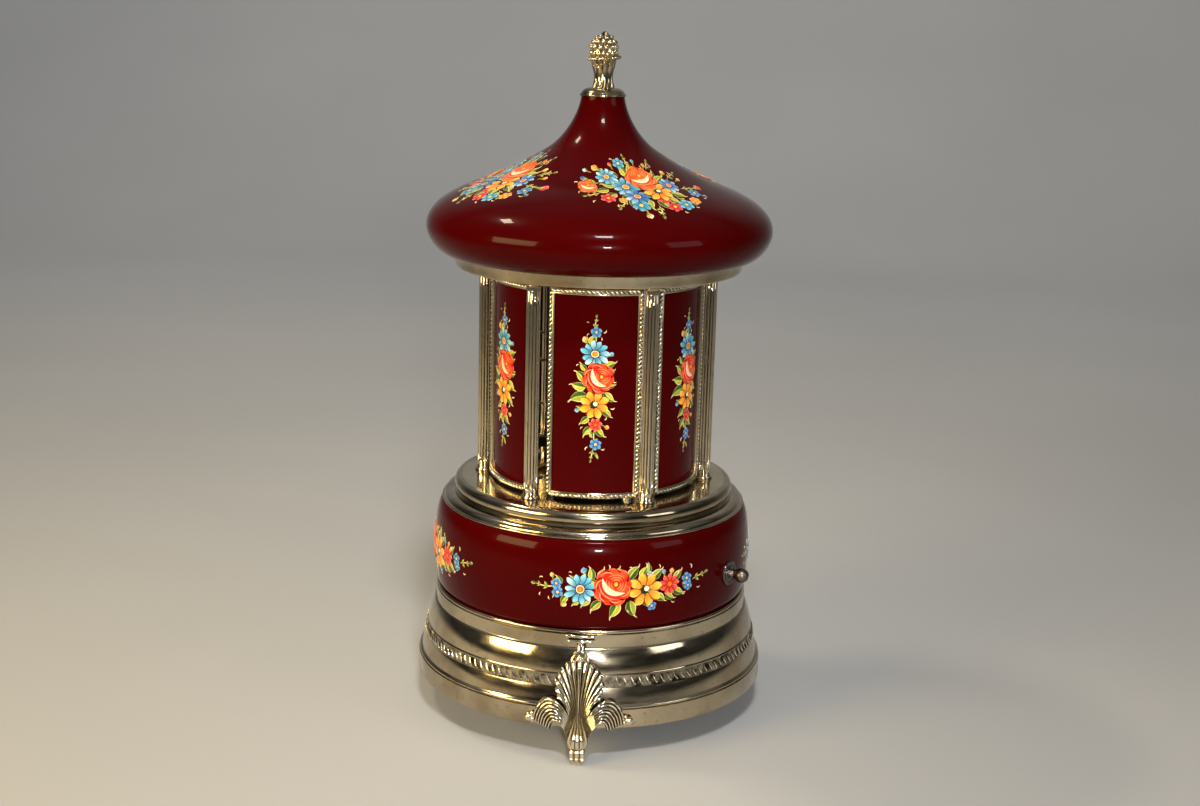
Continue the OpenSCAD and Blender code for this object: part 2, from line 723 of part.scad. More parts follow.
module governor_bracket() color([0.7, 0.64, 0.44])
  difference() {
    y0 = worm_y - 3.5;
    base_z = bed_z + bed_t;
    union() {
      translate([45.4, y0, base_z]) cube([8.2, 14, 3]);
      translate([45.4, gov_y - 3, base_z + 2]) cube([1.2, 6, 24.5]);
      translate([51.4, gov_y - 3, base_z + 2]) cube([2.2, 6, 30]);
      translate([45.4, y0, 51.3]) cube([8.2, gov_y + 3 - y0, 2]);
    }
    translate([44, gov_y, cyl_axis_z]) rotate([0, 90, 0]) cylinder(r = pivot_wire_r + running, h = 12);
    translate([worm_wheel_x, worm_y, base_z - 0.5]) cylinder(r = pivot_wire_r + running, h = 40);
  }

module governor_arbor() color([0.78, 0.66, 0.36])
  translate([0, gov_y, cyl_axis_z]) rotate([0, 90, 0]) {
    translate([0, 0, 41.6]) cylinder(r = pivot_wire_r, h = 12.2);
    translate([0, 0, 42]) rotate([0, 0, 90]) spur_gear(gov_pinion_teeth, gear_module, 2);
    translate([0, 0, worm_wheel_x - 0.5]) rotate([0, 0, 90])
      spur_gear(worm_wheel_teeth, gear_module, 0.8, 0.26);
  }

// The worm spindle with the two wings of the air brake above it
module governor_fan() color([0.75, 0.75, 0.72])
  translate([worm_wheel_x, worm_y, 0]) {
    lead = worm_starts * PI * gear_module;
    worm_h = 8;
    translate([0, 0, 22.5]) cylinder(r = pivot_wire_r, h = 37.5);
    translate([0, 0, cyl_axis_z - worm_h / 2])
      linear_extrude(worm_h, twist = -360 * worm_h / lead, slices = 16)
        polygon([for (i = [0:11]) let (a = 30 * i) worm_r(a) * [cos(a), sin(a)]]);
    translate([0, 0, 54]) cylinder(r = 1.8, h = 5);
    for (side = [0, 180])
      rotate([0, 0, side]) translate([1, -0.3, 54.5]) cube([6.3, 0.6, 4]);
  }

function worm_r(a) = worm_core_r + 0.6 * pow(max(0, cos(worm_starts * a)), 2);

module winding_key() color([0.72, 0.66, 0.45]) {
  translate([0, 0, 8]) cylinder(r = arbor_r, h = barrel_top_z + 1 - 8);
  translate([0, 0, 5]) cylinder(r = 3.2, h = 8);
  rotate([90, 0, 0]) translate([0, 0, -1])
    linear_extrude(2)
      difference() {
        union() {
          for (side = [-1, 1])
            translate([side * 7, 7.4]) circle(r = 5);
          translate([-7, 5.4]) square([14, 4]);
        }
        for (side = [-1, 1])
          translate([side * 8, 7.4]) circle(r = 2.4);
      }
}

module chassis_screws() color([0.7, 0.7, 0.68]) {
  for (i = [0:feet - 1]) {
    at(i * foot_angle)
      translate([0, -skirt_r + wall + 0.2, foot_screw_z]) rotate([90, 0, 0]) pan_screw(3.5);
    at(foot_angle / 2 + i * foot_angle)
      translate([0, -boss_pcr, board_z]) pan_screw(9);
  }
  bedplate_screw_places() translate([0, 0, bed_z + bed_t]) rotate([180, 0, 0]) pan_screw(4.6);
  for (x = comb_screw_x)
    translate([x, comb_screw_y, cyl_axis_z + 0.5]) rotate([180, 0, 0]) pan_screw(7);
}

base_moulding();
bottom_board();
drum();
gallery_ring();
deck_plate();
centre_bush();
centre_post();
tie_rod();
top_plate();
roof_ring();
roof_dome();
finial_cap();
finial();
column_1();
column_2();
column_3();
column_4();
column_5();
column_6();
door_panel_1();
door_panel_2();
door_panel_3();
door_panel_4();
door_panel_5();
door_panel_6();
door_trim_1();
door_trim_2();
door_trim_3();
door_trim_4();
door_trim_5();
door_trim_6();
door_rack_1();
door_rack_2();
door_rack_3();
door_rack_4();
door_rack_5();
door_rack_6();
door_pivot_1();
door_pivot_2();
door_pivot_3();
door_pivot_4();
door_pivot_5();
door_pivot_6();
foot_1();
foot_2();
foot_3();
column_screws();
chassis_screws();
knob_bush();
pull_rod();
pull_knob();
drive_plate();
bedplate();
spring_barrel();
melody_cylinder();
comb();
governor_bracket();
governor_arbor();
governor_fan();
winding_key();
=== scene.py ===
"""Looks of the carousel music box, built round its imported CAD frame.

Sizes are in millimetres until a mesh is made. Azimuth 0 is the front (-Y) and grows towards +X.
Outlines are lists of (radius, height), closed when a piece is turned from them.
"""

import math
import random

import bpy
from mathutils import Matrix, Vector


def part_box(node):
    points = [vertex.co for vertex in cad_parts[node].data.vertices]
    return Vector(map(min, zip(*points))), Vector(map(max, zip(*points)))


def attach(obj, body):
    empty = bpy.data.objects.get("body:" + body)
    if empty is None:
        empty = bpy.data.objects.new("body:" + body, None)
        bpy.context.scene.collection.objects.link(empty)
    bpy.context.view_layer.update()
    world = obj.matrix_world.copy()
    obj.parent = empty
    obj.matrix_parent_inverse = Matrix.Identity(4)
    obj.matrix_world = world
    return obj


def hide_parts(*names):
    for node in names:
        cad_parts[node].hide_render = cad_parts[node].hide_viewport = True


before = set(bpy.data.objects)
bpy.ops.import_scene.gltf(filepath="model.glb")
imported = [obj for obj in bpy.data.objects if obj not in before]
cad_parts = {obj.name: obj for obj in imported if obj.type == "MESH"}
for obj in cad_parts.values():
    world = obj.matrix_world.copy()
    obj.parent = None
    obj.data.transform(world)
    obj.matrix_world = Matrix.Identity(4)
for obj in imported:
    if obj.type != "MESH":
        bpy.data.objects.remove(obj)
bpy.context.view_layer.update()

MM = 0.001
BAYS = 6
FEET = 3
BAY_ANGLE = 360 / BAYS
FOOT_ANGLE = 360 / FEET


def box_mm(node):
    """Lowest and highest corner of a CAD node, in millimetres."""
    low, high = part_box(node)
    return low / MM, high / MM


# ---- sizes taken from the frame ----

BASE_LOW, BASE_HIGH = box_mm("base_moulding")
SKIRT_R, SKIRT_Z, BASE_TOP_Z = BASE_HIGH.x, BASE_LOW.z, BASE_HIGH.z
DRUM_TOP_Z = box_mm("drum")[1].z
DECK_HIGH = box_mm("deck_plate")[1]
DECK_R, DECK_Z = DECK_HIGH.x, DECK_HIGH.z
RING_LOW, RING_HIGH = box_mm("roof_ring")
ROOF_Z, SEAT_Z = RING_LOW.z, RING_HIGH.z
DOME_HIGH = box_mm("roof_dome")[1]
DOME_R, DOME_TOP_Z = DOME_HIGH.x, DOME_HIGH.z
CAP_Z = box_mm("finial_cap")[0].z
TOTAL_H = box_mm("finial")[1].z
TRIM_LOW, TRIM_HIGH = box_mm("door_trim_1")
DOOR_Z0, DOOR_Z1 = TRIM_LOW.z, TRIM_HIGH.z

# ---- sizes that follow the CAD source, where a box doesn't show them ----

DRUM_R = 76.0
COLUMN_PCR = 52.9
COLUMN_R = 3.3
COLUMN_H = ROOF_Z - DECK_Z
DOOR_R = 50.0
DOOR_FROM = -23.4
DOOR_TO = 27.5
TRIM_W = 2.9
PANEL_R = 48.8
PANEL_T = 1.0
WALL = 1.5
DOME_WALL = 1.2
KNOB_AZ = 60
ROD_Z = 76.0
FOOT_R = SKIRT_R + 3
FLANGE_R = 66
SCREW_HOLE_R = 1.55
FINIAL_HOLE_R = 2.05
ROUND = 288  # segments of the large turned pieces


# ---- curves and outlines ----

def cosd(angle):
    return math.cos(math.radians(angle))


def sind(angle):
    return math.sin(math.radians(angle))


def mix(a, b, t):
    """Between a and b, which are numbers or equal-length tuples."""
    if isinstance(a, (int, float)):
        return a + (b - a) * t
    return tuple(x + (y - x) * t for x, y in zip(a, b))


def bezier(a, b, c, d, n=16):
    """n + 1 points of a cubic Bezier curve."""
    points = []
    for i in range(n + 1):
        t = i / n
        s = 1 - t
        weights = (s ** 3, 3 * t * s * s, 3 * t * t * s, t ** 3)
        points.append(tuple(sum(w * p[k] for w, p in zip(weights, (a, b, c, d))) for k in range(len(a))))
    return points


def bend(a, b, c, n):
    """n + 1 points of a quadratic Bezier curve."""
    return [tuple((1 - t) ** 2 * a[k] + 2 * t * (1 - t) * b[k] + t * t * c[k] for k in range(len(a)))
            for t in (i / n for i in range(n + 1))]


def arc(cx, cy, r, a0, a1, n=8):
    """n + 1 points of a circle's arc, in degrees."""
    return [(cx + r * cosd(a), cy + r * sind(a)) for a in (mix(a0, a1, i / n) for i in range(n + 1))]


def tidy(points, least=0.02):
    """The same outline without points that lie on the one before."""
    kept = [points[0]]
    for p in points[1:]:
        if math.dist(p, kept[-1]) > least:
            kept.append(p)
    return kept


def shell(outline, wall):
    """A closed outline: the outer line, and the same line moved inwards by the wall."""
    outline = tidy(outline)
    inner = []
    for i, p in enumerate(outline):
        a = outline[max(i - 1, 0)]
        b = outline[min(i + 1, len(outline) - 1)]
        length = math.dist(a, b)
        inner.append((p[0] - wall * (b[1] - a[1]) / length, p[1] + wall * (b[0] - a[0]) / length))
    return outline + inner[::-1]


def polar(r, az, z):
    """The point at a radius, an azimuth in degrees and a height."""
    a = math.radians(az)
    return Vector((r * math.sin(a), -r * math.cos(a), z))


def lookup(table, x):
    """The value at x of a line through the (x, value) pairs of a table."""
    if x <= table[0][0]:
        return table[0][1]
    for (x0, y0), (x1, y1) in zip(table, table[1:]):
        if x <= x1:
            return mix(y0, y1, (x - x0) / (x1 - x0))
    return table[-1][1]


# ---- materials ----

class Look:
    """The nodes of one material or world. A value is a number, a colour or another node's output."""

    def __init__(self, owner, shader="Principled BSDF"):
        owner.use_nodes = True
        self.nodes = owner.node_tree.nodes
        self.links = owner.node_tree.links
        self.shader = self.nodes[shader]

    def feed(self, node, values):
        """Gives a node's inputs their values."""
        for key, value in values.items():
            socket = node.inputs[key]
            if isinstance(value, bpy.types.NodeSocket):
                self.links.new(value, socket)
            elif isinstance(value, tuple) and len(value) < len(socket.default_value):
                socket.default_value = (*value, 1)
            else:
                socket.default_value = value

    def surface(self, values):
        """Gives the shader's own inputs their values."""
        self.feed(self.shader, values)

    def node(self, kind, output, values, **settings):
        """The output of a new node."""
        node = self.nodes.new("ShaderNode" + kind)
        for key, value in settings.items():
            setattr(node, key, value)
        self.feed(node, values)
        return node.outputs[output]

    def noise(self, scale, detail, stretch=None):
        """A noise texture in the object's own metres, stretched by a scale per axis."""
        place = self.node("TexCoord", "Object", {})
        if stretch:
            place = self.node("Mapping", "Vector", {"Vector": place, "Scale": stretch})
        return self.node("TexNoise", "Fac", {"Vector": place, "Scale": scale, "Detail": detail})

    def ramp(self, value, *stops):
        """A colour ramp over a value: stops of (place, colour)."""
        node = self.nodes.new("ShaderNodeValToRGB")
        elements = node.color_ramp.elements
        while len(elements) < len(stops):
            elements.new(0.5)
        for element, (place, colour) in zip(elements, stops):
            element.position = place
            element.color = (*colour, 1)
        self.links.new(value, node.inputs["Fac"])
        return node.outputs["Color"]

    def span(self, value, low, high, to_low, to_high):
        """A value's range low..high mapped to another range."""
        return self.node("MapRange", "Result", {"Value": value, "From Min": low, "From Max": high,
                                                "To Min": to_low, "To Max": to_high})

    def blend(self, factor, a, b, mode="MIX"):
        """Two colours mixed by a factor. The numbers are the Mix node's factor and colour sockets."""
        return self.node("Mix", 2, {0: factor, 6: a, 7: b}, data_type="RGBA", blend_type=mode)

    def bump(self, height, strength, distance, below=None):
        """Bump from a height value, over another bump's normal if given."""
        values = {"Height": height, "Strength": strength, "Distance": distance}
        if below:
            values["Normal"] = below
        normal = self.node("Bump", "Normal", values)
        self.surface({"Normal": normal})
        return normal


def new_look(name):
    m = bpy.data.materials.new(name)
    return m, Look(m)


def lacquer():
    """Burgundy lacquer under a clear coat, with a faint orange peel and fine dust nibs."""
    m, look = new_look("burgundy_lacquer")
    look.surface({
        "Base Color": look.ramp(look.noise(18, 3), (0.3, (0.034, 0.0002, 0.0003)),
                                (0.7, (0.045, 0.0003, 0.0004))),
        "Roughness": look.span(look.noise(60, 5), 0.3, 0.7, 0.18, 0.28),
        "Coat Weight": 1.0, "Coat Roughness": 0.04, "Coat IOR": 1.13, "Specular IOR Level": 0.012,
    })
    peel = look.bump(look.noise(110, 2), 0.05, 0.0006)
    look.bump(look.noise(1400, 1), 0.035, 0.0001, peel)
    return m


def plated(name, bright, dull, rough_low, rough_high, wobble=0.06):
    """Polished plate over pressed metal: soft tarnish clouds, small spots, rubbing and a slight wobble."""
    m, look = new_look(name)
    cloud = look.ramp(look.noise(32, 6), (0.35, dull), (0.62, bright))
    speck = look.span(look.noise(420, 3), 0.62, 0.74, 0, 0.55)
    rub = look.noise(70, 5, (1, 1, 4))
    look.surface({
        "Metallic": 1.0,
        "Base Color": look.blend(speck, cloud, mix(dull, (0.10, 0.075, 0.05), 0.6)),
        "Roughness": look.span(rub, 0.3, 0.72, rough_low, rough_high),
    })
    press = look.bump(look.noise(45, 2), wobble, 0.0015)
    look.bump(look.noise(900, 2), 0.05, 0.0001, press)
    return m


def cast(name, bright, hollow, rough_low, rough_high):
    """Cast metal with painted light on its raised lines and outward faces, and painted shade with dark
    tarnish in its hollows and on the sides turned away: a per-point attribute of the mesh is 1 on the raised
    lines.
    """
    m, look = new_look(name)
    crest_light = look.node("Attribute", "Fac", {}, attribute_name="crest_light")
    rub = look.span(look.noise(260, 4), 0.3, 0.7, -0.22, 0.22)
    lift = look.node("Math", 0, {0: crest_light, 1: rub}, operation="ADD")
    look.surface({
        "Metallic": 1.0,
        # The hollow colour, near black, is painted shade with tarnish; the bright one is painted light.
        "Base Color": look.ramp(lift, (0.12, hollow), (0.42, mix(hollow, bright, 0.5)), (0.72, bright)),
        "Roughness": look.span(lift, 0.1, 0.9, rough_high, rough_low),
    })
    look.bump(look.noise(700, 3), 0.16, 0.0002)
    return m


def machined(name, colour, rough):
    """Turned or brushed metal with fine tool marks."""
    m, look = new_look(name)
    marks = look.noise(500, 4)
    look.surface({
        "Metallic": 1.0,
        "Base Color": look.ramp(marks, (0.3, mix(colour, (0, 0, 0), 0.3)), (0.7, colour)),
        "Roughness": look.span(marks, 0.3, 0.7, rough * 0.7, rough * 1.4),
    })
    look.bump(marks, 0.08, 0.0001)
    return m


def hardboard():
    """The dark fibre board under the base."""
    m, look = new_look("fibre_board")
    fibre = look.noise(240, 8, (1, 6, 1))
    look.surface({
        "Base Color": look.ramp(fibre, (0.3, (0.030, 0.018, 0.010)), (0.7, (0.085, 0.052, 0.030))),
        "Roughness": 0.72,
    })
    look.bump(fibre, 0.3, 0.0003)
    return m


def paint():
    """Enamel colours from the mesh's "paint" attribute, with a brush's thin and thick places."""
    m, look = new_look("painted_flowers")
    colour = look.node("Attribute", "Color", {}, attribute_name="paint")
    thick = look.noise(1500, 3)
    shade = look.ramp(thick, (0.3, (0.80, 0.80, 0.80)), (0.65, (1.0, 1.0, 1.0)))
    look.surface({
        "Base Color": look.blend(1.0, colour, shade, "MULTIPLY"),
        "Roughness": look.span(thick, 0.3, 0.7, 0.22, 0.38),
        "Specular IOR Level": 0.1, "Coat Weight": 0.5, "Coat IOR": 1.2, "Coat Roughness": 0.08,
    })
    look.bump(thick, 0.1, 0.0001)
    return m


# Plated metals have a bright and a dull colour. Cast ones have a raised colour, which is painted light, and a
# near-black hollow one, which is painted shade with tarnish;
# then come the lowest and the highest roughness, and a plated metal's wobble.
LACQUER = lacquer()
SHELL = plated("plated_shell", (0.58, 0.495, 0.35), (0.30, 0.235, 0.145), 0.06, 0.20)
TRIM = plated("plated_trim", (0.64, 0.555, 0.40), (0.36, 0.285, 0.175), 0.10, 0.26, 0.03)
CAP_METAL = plated("cap_metal", (0.47, 0.385, 0.24), (0.17, 0.125, 0.065), 0.09, 0.26)
KNOB_METAL = plated("worn_knob", (0.30, 0.25, 0.21), (0.13, 0.10, 0.08), 0.20, 0.40)
DECK_METAL = plated("polished_deck", (0.72, 0.61, 0.41), (0.50, 0.40, 0.24), 0.09, 0.20, 0.02)
GILT_SHEET = plated("gilt_sheet", (0.34, 0.28, 0.17), (0.20, 0.155, 0.085), 0.34, 0.48, 0.04)
MIRROR = plated("mirror_post", (0.86, 0.85, 0.82), (0.72, 0.71, 0.67), 0.03, 0.10, 0.015)
ORNAMENT = cast("cast_ornament", (0.80, 0.71, 0.53), (0.022, 0.014, 0.006), 0.10, 0.44)
FINIAL_CAST = cast("finial_cast", (0.54, 0.45, 0.295), (0.028, 0.019, 0.008), 0.12, 0.42)
COLUMN_METAL = cast("fluted_plate", (0.66, 0.57, 0.41), (0.075, 0.055, 0.030), 0.08, 0.30)
ROPE = cast("rope_edge", (0.86, 0.78, 0.60), (0.030, 0.021, 0.010), 0.10, 0.42)
STEEL = machined("steel", (0.55, 0.55, 0.53), 0.28)
BRASS = machined("brass", (0.78, 0.60, 0.28), 0.26)
BOARD = hardboard()
PAINT = paint()


# ---- meshes ----

def make_piece(name, verts, faces, material, body, nodes=(), sharp=38, attributes=None):
    """A mesh from millimetre points, riding on a body. attributes: {name: one value per point}."""
    mesh = bpy.data.meshes.new(name)
    mesh.from_pydata([tuple(c * MM for c in v) for v in verts], [], faces)
    mesh.validate()
    mesh.shade_smooth()
    mesh.set_sharp_from_angle(angle=math.radians(sharp))
    for key, values in (attributes or {}).items():
        if key == "paint":
            layer = mesh.color_attributes.new(key, "FLOAT_COLOR", "POINT")
            layer.data.foreach_set("color", [c for v in values for c in (*v, 1.0)])
        else:
            layer = mesh.attributes.new(key, "FLOAT", "POINT")
            layer.data.foreach_set("value", values)
    mesh.materials.append(material)
    obj = bpy.data.objects.new(name, mesh)
    bpy.context.scene.collection.objects.link(obj)
    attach(obj, body)
    if nodes:
        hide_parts(*nodes)
    return obj


def skin(rows, count, closed=False, flip=False):
    """Faces between neighbouring rows of count points each, with two end caps unless the rows close."""
    faces = []
    for i in range(rows if closed else rows - 1):
        a, b = i * count, (i + 1) % rows * count
        for j in range(count):
            k = (j + 1) % count
            faces.append((a + j, a + k, b + k, b + j) if flip else (a + j, b + j, b + k, a + k))
    if not closed:
        first, last = tuple(range(count)), tuple(range((rows - 1) * count, rows * count))
        faces += [first[::-1], last] if flip else [first, last[::-1]]
    return faces


def shifted(faces, start):
    """The same faces, for points that are counted from a start."""
    return [tuple(start + i for i in f) for f in faces]


class Solid:
    """Points and faces of a piece made of several closed bodies, with a value per point: 1 where a cast
    finish gets painted light, low where it gets painted shade.
    """

    def __init__(self):
        self.verts = []
        self.faces = []
        self.crest_light = []

    def add(self, verts, faces, crest_light=None):
        self.faces += shifted(faces, len(self.verts))
        self.verts += [tuple(v) for v in verts]
        self.crest_light += crest_light if crest_light is not None else [1.0] * len(verts)

    def lathe(self, outline, segments, place=None, flute=None):
        """A closed outline turned round the Z axis. flute(radius, height, angle) changes the radius."""
        verts = []
        for s in range(segments):
            a = 2 * math.pi * s / segments
            for r, z in outline:
                rr = flute(r, z, a) if flute else r
                verts.append(Vector((rr * math.cos(a), rr * math.sin(a), z)))
        if place:
            verts = [place @ v for v in verts]
        self.add(verts, skin(segments, len(outline), closed=True))

    def tube(self, path, radii, across, sides=12, deep=1.0, plain=False, closed=False, twist=None):
        """A tube along a path, deep times as thick in the direction across (a vector, or a function of i).

        twist(i, angle) scales the radius, for strands, with painted shade in the gaps between them. A plain
        tube is bright all round, with no painted shade; any other gets painted light on the side it faces
        across and painted shade on its other sides.
        """
        count = len(path)
        verts = []
        crest_light = []
        for i, p in enumerate(path):
            before = path[(i - 1) % count] if closed or i else path[0]
            after = path[(i + 1) % count] if closed or i < count - 1 else path[-1]
            along = (after - before).normalized()
            out = across(i) if callable(across) else across
            out = (out - along * out.dot(along)).normalized()
            side = along.cross(out)
            for k in range(sides):
                a = 2 * math.pi * k / sides
                swell = twist(i, a) if twist else 1.0
                r = radii[i] * swell
                verts.append(p + out * (r * deep * math.cos(a)) + side * (r * math.sin(a)))
                # Painted light on the strands' tops and painted shade in their gaps; otherwise painted light
                # facing across and painted shade round the rest.
                if twist:
                    crest_light.append(max(0.0, 2 * swell - 1))
                else:
                    crest_light.append(1.0 if plain else max(0.0, math.cos(a)) ** 1.2)
        self.add(verts, skin(count, sides, closed, flip=True), crest_light)

    def ball(self, centre, radii, axes=None, rings=8, sides=14):
        """An ellipsoid with its own axes: three radii along three directions, the first one outward."""
        axes = axes or (Vector((1, 0, 0)), Vector((0, 1, 0)), Vector((0, 0, 1)))
        verts = [centre + axes[2] * radii[2]]
        # The top pole and the outward side get painted light, the bottom pole and the inward side painted
        # shade.
        crest_light = [1.0]
        for i in range(1, rings):
            t = math.pi * i / rings
            for k in range(sides):
                a = 2 * math.pi * k / sides
                x = math.sin(t) * math.cos(a)
                y = math.sin(t) * math.sin(a)
                z = math.cos(t)
                verts.append(centre + axes[0] * radii[0] * x + axes[1] * radii[1] * y
                             + axes[2] * radii[2] * z)
                crest_light.append(min(1.0, max(0.0, 0.35 + x)))
        verts.append(centre - axes[2] * radii[2])
        crest_light.append(0.2)
        last = len(verts) - 1
        faces = [(0, 1 + k, 1 + (k + 1) % sides) for k in range(sides)]
        for i in range(rings - 2):
            for k in range(sides):
                a, b = 1 + i * sides + k, 1 + i * sides + (k + 1) % sides
                faces.append((a, a + sides, b + sides, b))
        faces += [(last, last - sides + (k + 1) % sides, last - sides + k) for k in range(sides)]
        self.add(verts, faces, crest_light)

    def piece(self, name, material, body, nodes=(), sharp=38):
        crest_light = {"crest_light": self.crest_light}
        return make_piece(name, self.verts, self.faces, material, body, nodes, sharp, crest_light)


def turned(name, outline, material, node, segments=ROUND):
    """A fixed piece turned from one closed outline, in a CAD node's place."""
    solid = Solid()
    solid.lathe(outline, segments)
    solid.piece(name, material, "case", [node])


def turn(az):
    """The turn about Z that takes a front piece to an azimuth."""
    return Matrix.Rotation(math.radians(az), 4, "Z")


def outward(az):
    return polar(1, az, 0)


def sideways(az):
    return polar(1, az + 90, 0)


def around(count):
    """The azimuths of equal steps round a circle."""
    return [360 * i / count for i in range(count)]


def axes_at(az):
    """Outward, sideways and up at an azimuth."""
    return outward(az), sideways(az), UP


UP = Vector((0, 0, 1))


# ---- base ----

def base_outline():
    return tidy(
        [(SKIRT_R - 1.0, SKIRT_Z), (SKIRT_R - 0.3, SKIRT_Z + 0.2), (SKIRT_R, SKIRT_Z + 1)]
        + [(SKIRT_R - 0.2, 23.5)]
        + arc(82.2, 24.5, 0.9, -60, 60)
        + bezier((81.9, 25.8), (81.5, 27.6), (81.0, 30.4), (80.2, 32.7))
        + [(80.0, 33.2), (79.3, 37.8), (79.3, 38.4)]
        + bezier((78.9, 38.8), (78.5, 42.0), (77.6, 46.4), (75.7, 50), 20)
        + [(75.1, 50.4), (75, 51.2), (75, 56.2)]
        + arc(73.9, 57.4, 1.0, -70, 75)
    )


def base_radius(z):
    """The base's outer radius at a height."""
    rising = sorted((p[1], p[0]) for p in base_outline())
    return lookup(rising, z)


def base_moulding():
    under = BASE_TOP_Z - WALL
    inside = [(73.6, BASE_TOP_Z), (FLANGE_R, BASE_TOP_Z), (FLANGE_R, under), (71.7, under), (73.4, 50),
              (75.9, 46), (76.9, 34), (79.7, 26), (SKIRT_R - WALL, 22), (SKIRT_R - WALL, SKIRT_Z)]
    solid = Solid()
    solid.lathe(base_outline() + inside, ROUND)
    for i in range(FEET):
        boss = turn(FOOT_ANGLE / 2 + i * FOOT_ANGLE) @ Matrix.Translation((0, -73, 18.3))
        solid.lathe([(SCREW_HOLE_R, 0), (4, 0), (4, 11.4), (3.4, 12), (SCREW_HOLE_R, 12)], 32, boss)
    solid.piece("base_moulding_shell", SHELL, "case", ["base_moulding"])


def base_strokes():
    """The embossed band: a ring of comma strokes, thin above and round below."""
    points = 8
    solid = Solid()
    ground = [(base_radius(z) + 0.06, z) for z in (33.2, 34.5, 35.7, 36.9, 38.1)]
    solid.lathe(ground + [(r - 0.5, z) for r, z in ground[::-1]], ROUND)
    # The ground between the strokes is set darker: painted shade.
    solid.crest_light = [0.26] * len(solid.verts)
    for az in around(144):
        path = []
        radii = []
        for k in range(points):
            t = k / (points - 1)
            z = mix(37.6, 34.0, t)
            lean = mix(-0.75, 0.75, t ** 1.4)
            path.append(polar(base_radius(z) + 0.15 + 0.2 * math.sin(math.pi * t), az + lean, z))
            radii.append(mix(0.2, 0.64, t ** 1.2) * (1.0 if k < points - 1 else 0.45))
        solid.tube(path, radii, outward(az), 8, 0.9)
    solid.piece("base_band_strokes", ORNAMENT, "case")


def base_beads():
    """The fine bead line over the skirt."""
    solid = Solid()
    for az in around(400):
        solid.ball(polar(82.75, az, 24.5), (0.5, 0.52, 0.55), axes_at(az), 4, 7)
    solid.piece("base_bead_line", TRIM, "case")


# ---- feet ----

# The front and back radius of a foot by height.
FOOT_FRONT = [(0, 90.0), (6, 90.2), (12, 89.2), (16, 88.8), (22, 87.8), (32, 86.2), (42, 84.2), (48, 82.2),
              (52, 79.6)]
FOOT_BACK = [(0, 84.0), (25, 83.7), (30, 82.6), (40, 80.6), (50, 78.2)]


def foot_radius(x, z):
    """The radius of a foot's front surface, x mm to the side of its middle."""
    front = lookup(FOOT_FRONT, z)
    edge = base_radius(max(z, SKIRT_Z + 1)) + 1.4
    return mix(front, edge, min(1.0, (abs(x) / 22) ** 1.3))


def foot_point(az, x, z, sink=0.0):
    """A point on a foot's front: x to its right in mm along the base, z up, sunk by some mm."""
    return polar(foot_radius(x, z) - sink, az + math.degrees(x / SKIRT_R), z)


def rib(solid, az, controls, width, sink, deep, n=18):
    """A tapered raised line on a foot: four (x, z) control points, and widths at root, middle and tip."""
    line = bezier(*controls, n)
    root, middle, tip = width
    path = []
    radii = []
    for i, (x, z) in enumerate(line):
        t = i / n
        w = mix(root, middle, t * 2) if t < 0.5 else mix(middle, tip, (t - 0.5) * 2)
        radii.append(w if 0 < i < n else w * 0.55)
        path.append(foot_point(az, x, z, sink + w * deep * 0.8))
    solid.tube(path, radii, lambda i: outward(az + math.degrees(line[i][0] / SKIRT_R)), 12, deep)


def ribbed_sheet(solid, az, ribs, controls, swell, cut):
    """A leaf of closed relief: ribs side by side, with sharp hollows between them.

    controls(s, ridge) gives the four (x, z) points of the line at s, which runs from -1 to 1 across the leaf.
    ridge is 1 on a rib and 0 in a hollow.
    swell(s, t) is how far the leaf stands out, and cut is the depth of the hollows.
    """
    along, per_rib = 26, 8
    columns = ribs * per_rib + 1
    front, back, crest_light = [], [], []
    for i in range(columns):
        s = 2 * i / (columns - 1) - 1
        ridge = abs(math.sin(math.pi * ribs * (s + 1) / 2)) ** 0.85
        points = controls(s, ridge)
        for k, (x, z) in enumerate(bezier(*points, along)):
            t = k / along
            r = foot_radius(x, z) + swell(s, t) - cut * (1 - ridge)
            if k == along:
                r -= 0.5
            front.append(polar(r, az + math.degrees(x / SKIRT_R), z))
            back.append(polar(min(lookup(FOOT_BACK, z), r - 0.6), az + math.degrees(x / SKIRT_R), z))
            # Painted light on the ribs and painted shade in the hollows between them.
            crest_light.append(ridge ** 1.7)
    rows = along + 1
    offset = len(front)
    faces = []
    for i in range(columns - 1):
        for k in range(along):
            a, b = i * rows + k, (i + 1) * rows + k
            faces.append((a, b, b + 1, a + 1))
            faces.append((offset + a, offset + a + 1, offset + b + 1, offset + b))
        for k, flip in ((0, 1), (along, -1)):
            a, b = i * rows + k, (i + 1) * rows + k
            faces.append((a, offset + a, offset + b, b)[::flip])
    for i, flip in ((0, -1), (columns - 1, 1)):
        for k in range(along):
            a = i * rows + k
            faces.append((a, offset + a, offset + a + 1, a + 1)[::flip])
    # The back of the sheet gets painted shade all over.
    solid.add(front + back, faces, crest_light + [0.0] * offset)


def foot_leaf(solid, az):
    """The palmette: curved ribs that fan up from the waist to a scalloped oval edge."""

    def controls(s, ridge):
        lean = abs(s)
        a = math.radians(126 * s)
        reach = 0.94 + 0.06 * ridge
        return ((3.0 * s, 11.8), (1.2 * s, mix(24, 20, lean)),
                (math.copysign(mix(0.4, 7.0, lean), s), mix(37, 29.5, lean)),
                (10.9 * reach * math.sin(a), 34.9 + 12.3 * reach * math.cos(a)))

    ribbed_sheet(solid, az, 15, controls, lambda s, t: 0.9 - 1.1 * abs(s) ** 2 * t, 1.3)
    for side in (-1, -0.5, 0, 0.5, 1):
        line = ((3.9 * side, 9.5), (3.4 * side, 14), (1.5 * side, 18), (1.6 * side, 25 - 2.5 * abs(side)))
        rib(solid, az, line, (0.75, 0.55, 0.1), -0.45, 1.2)


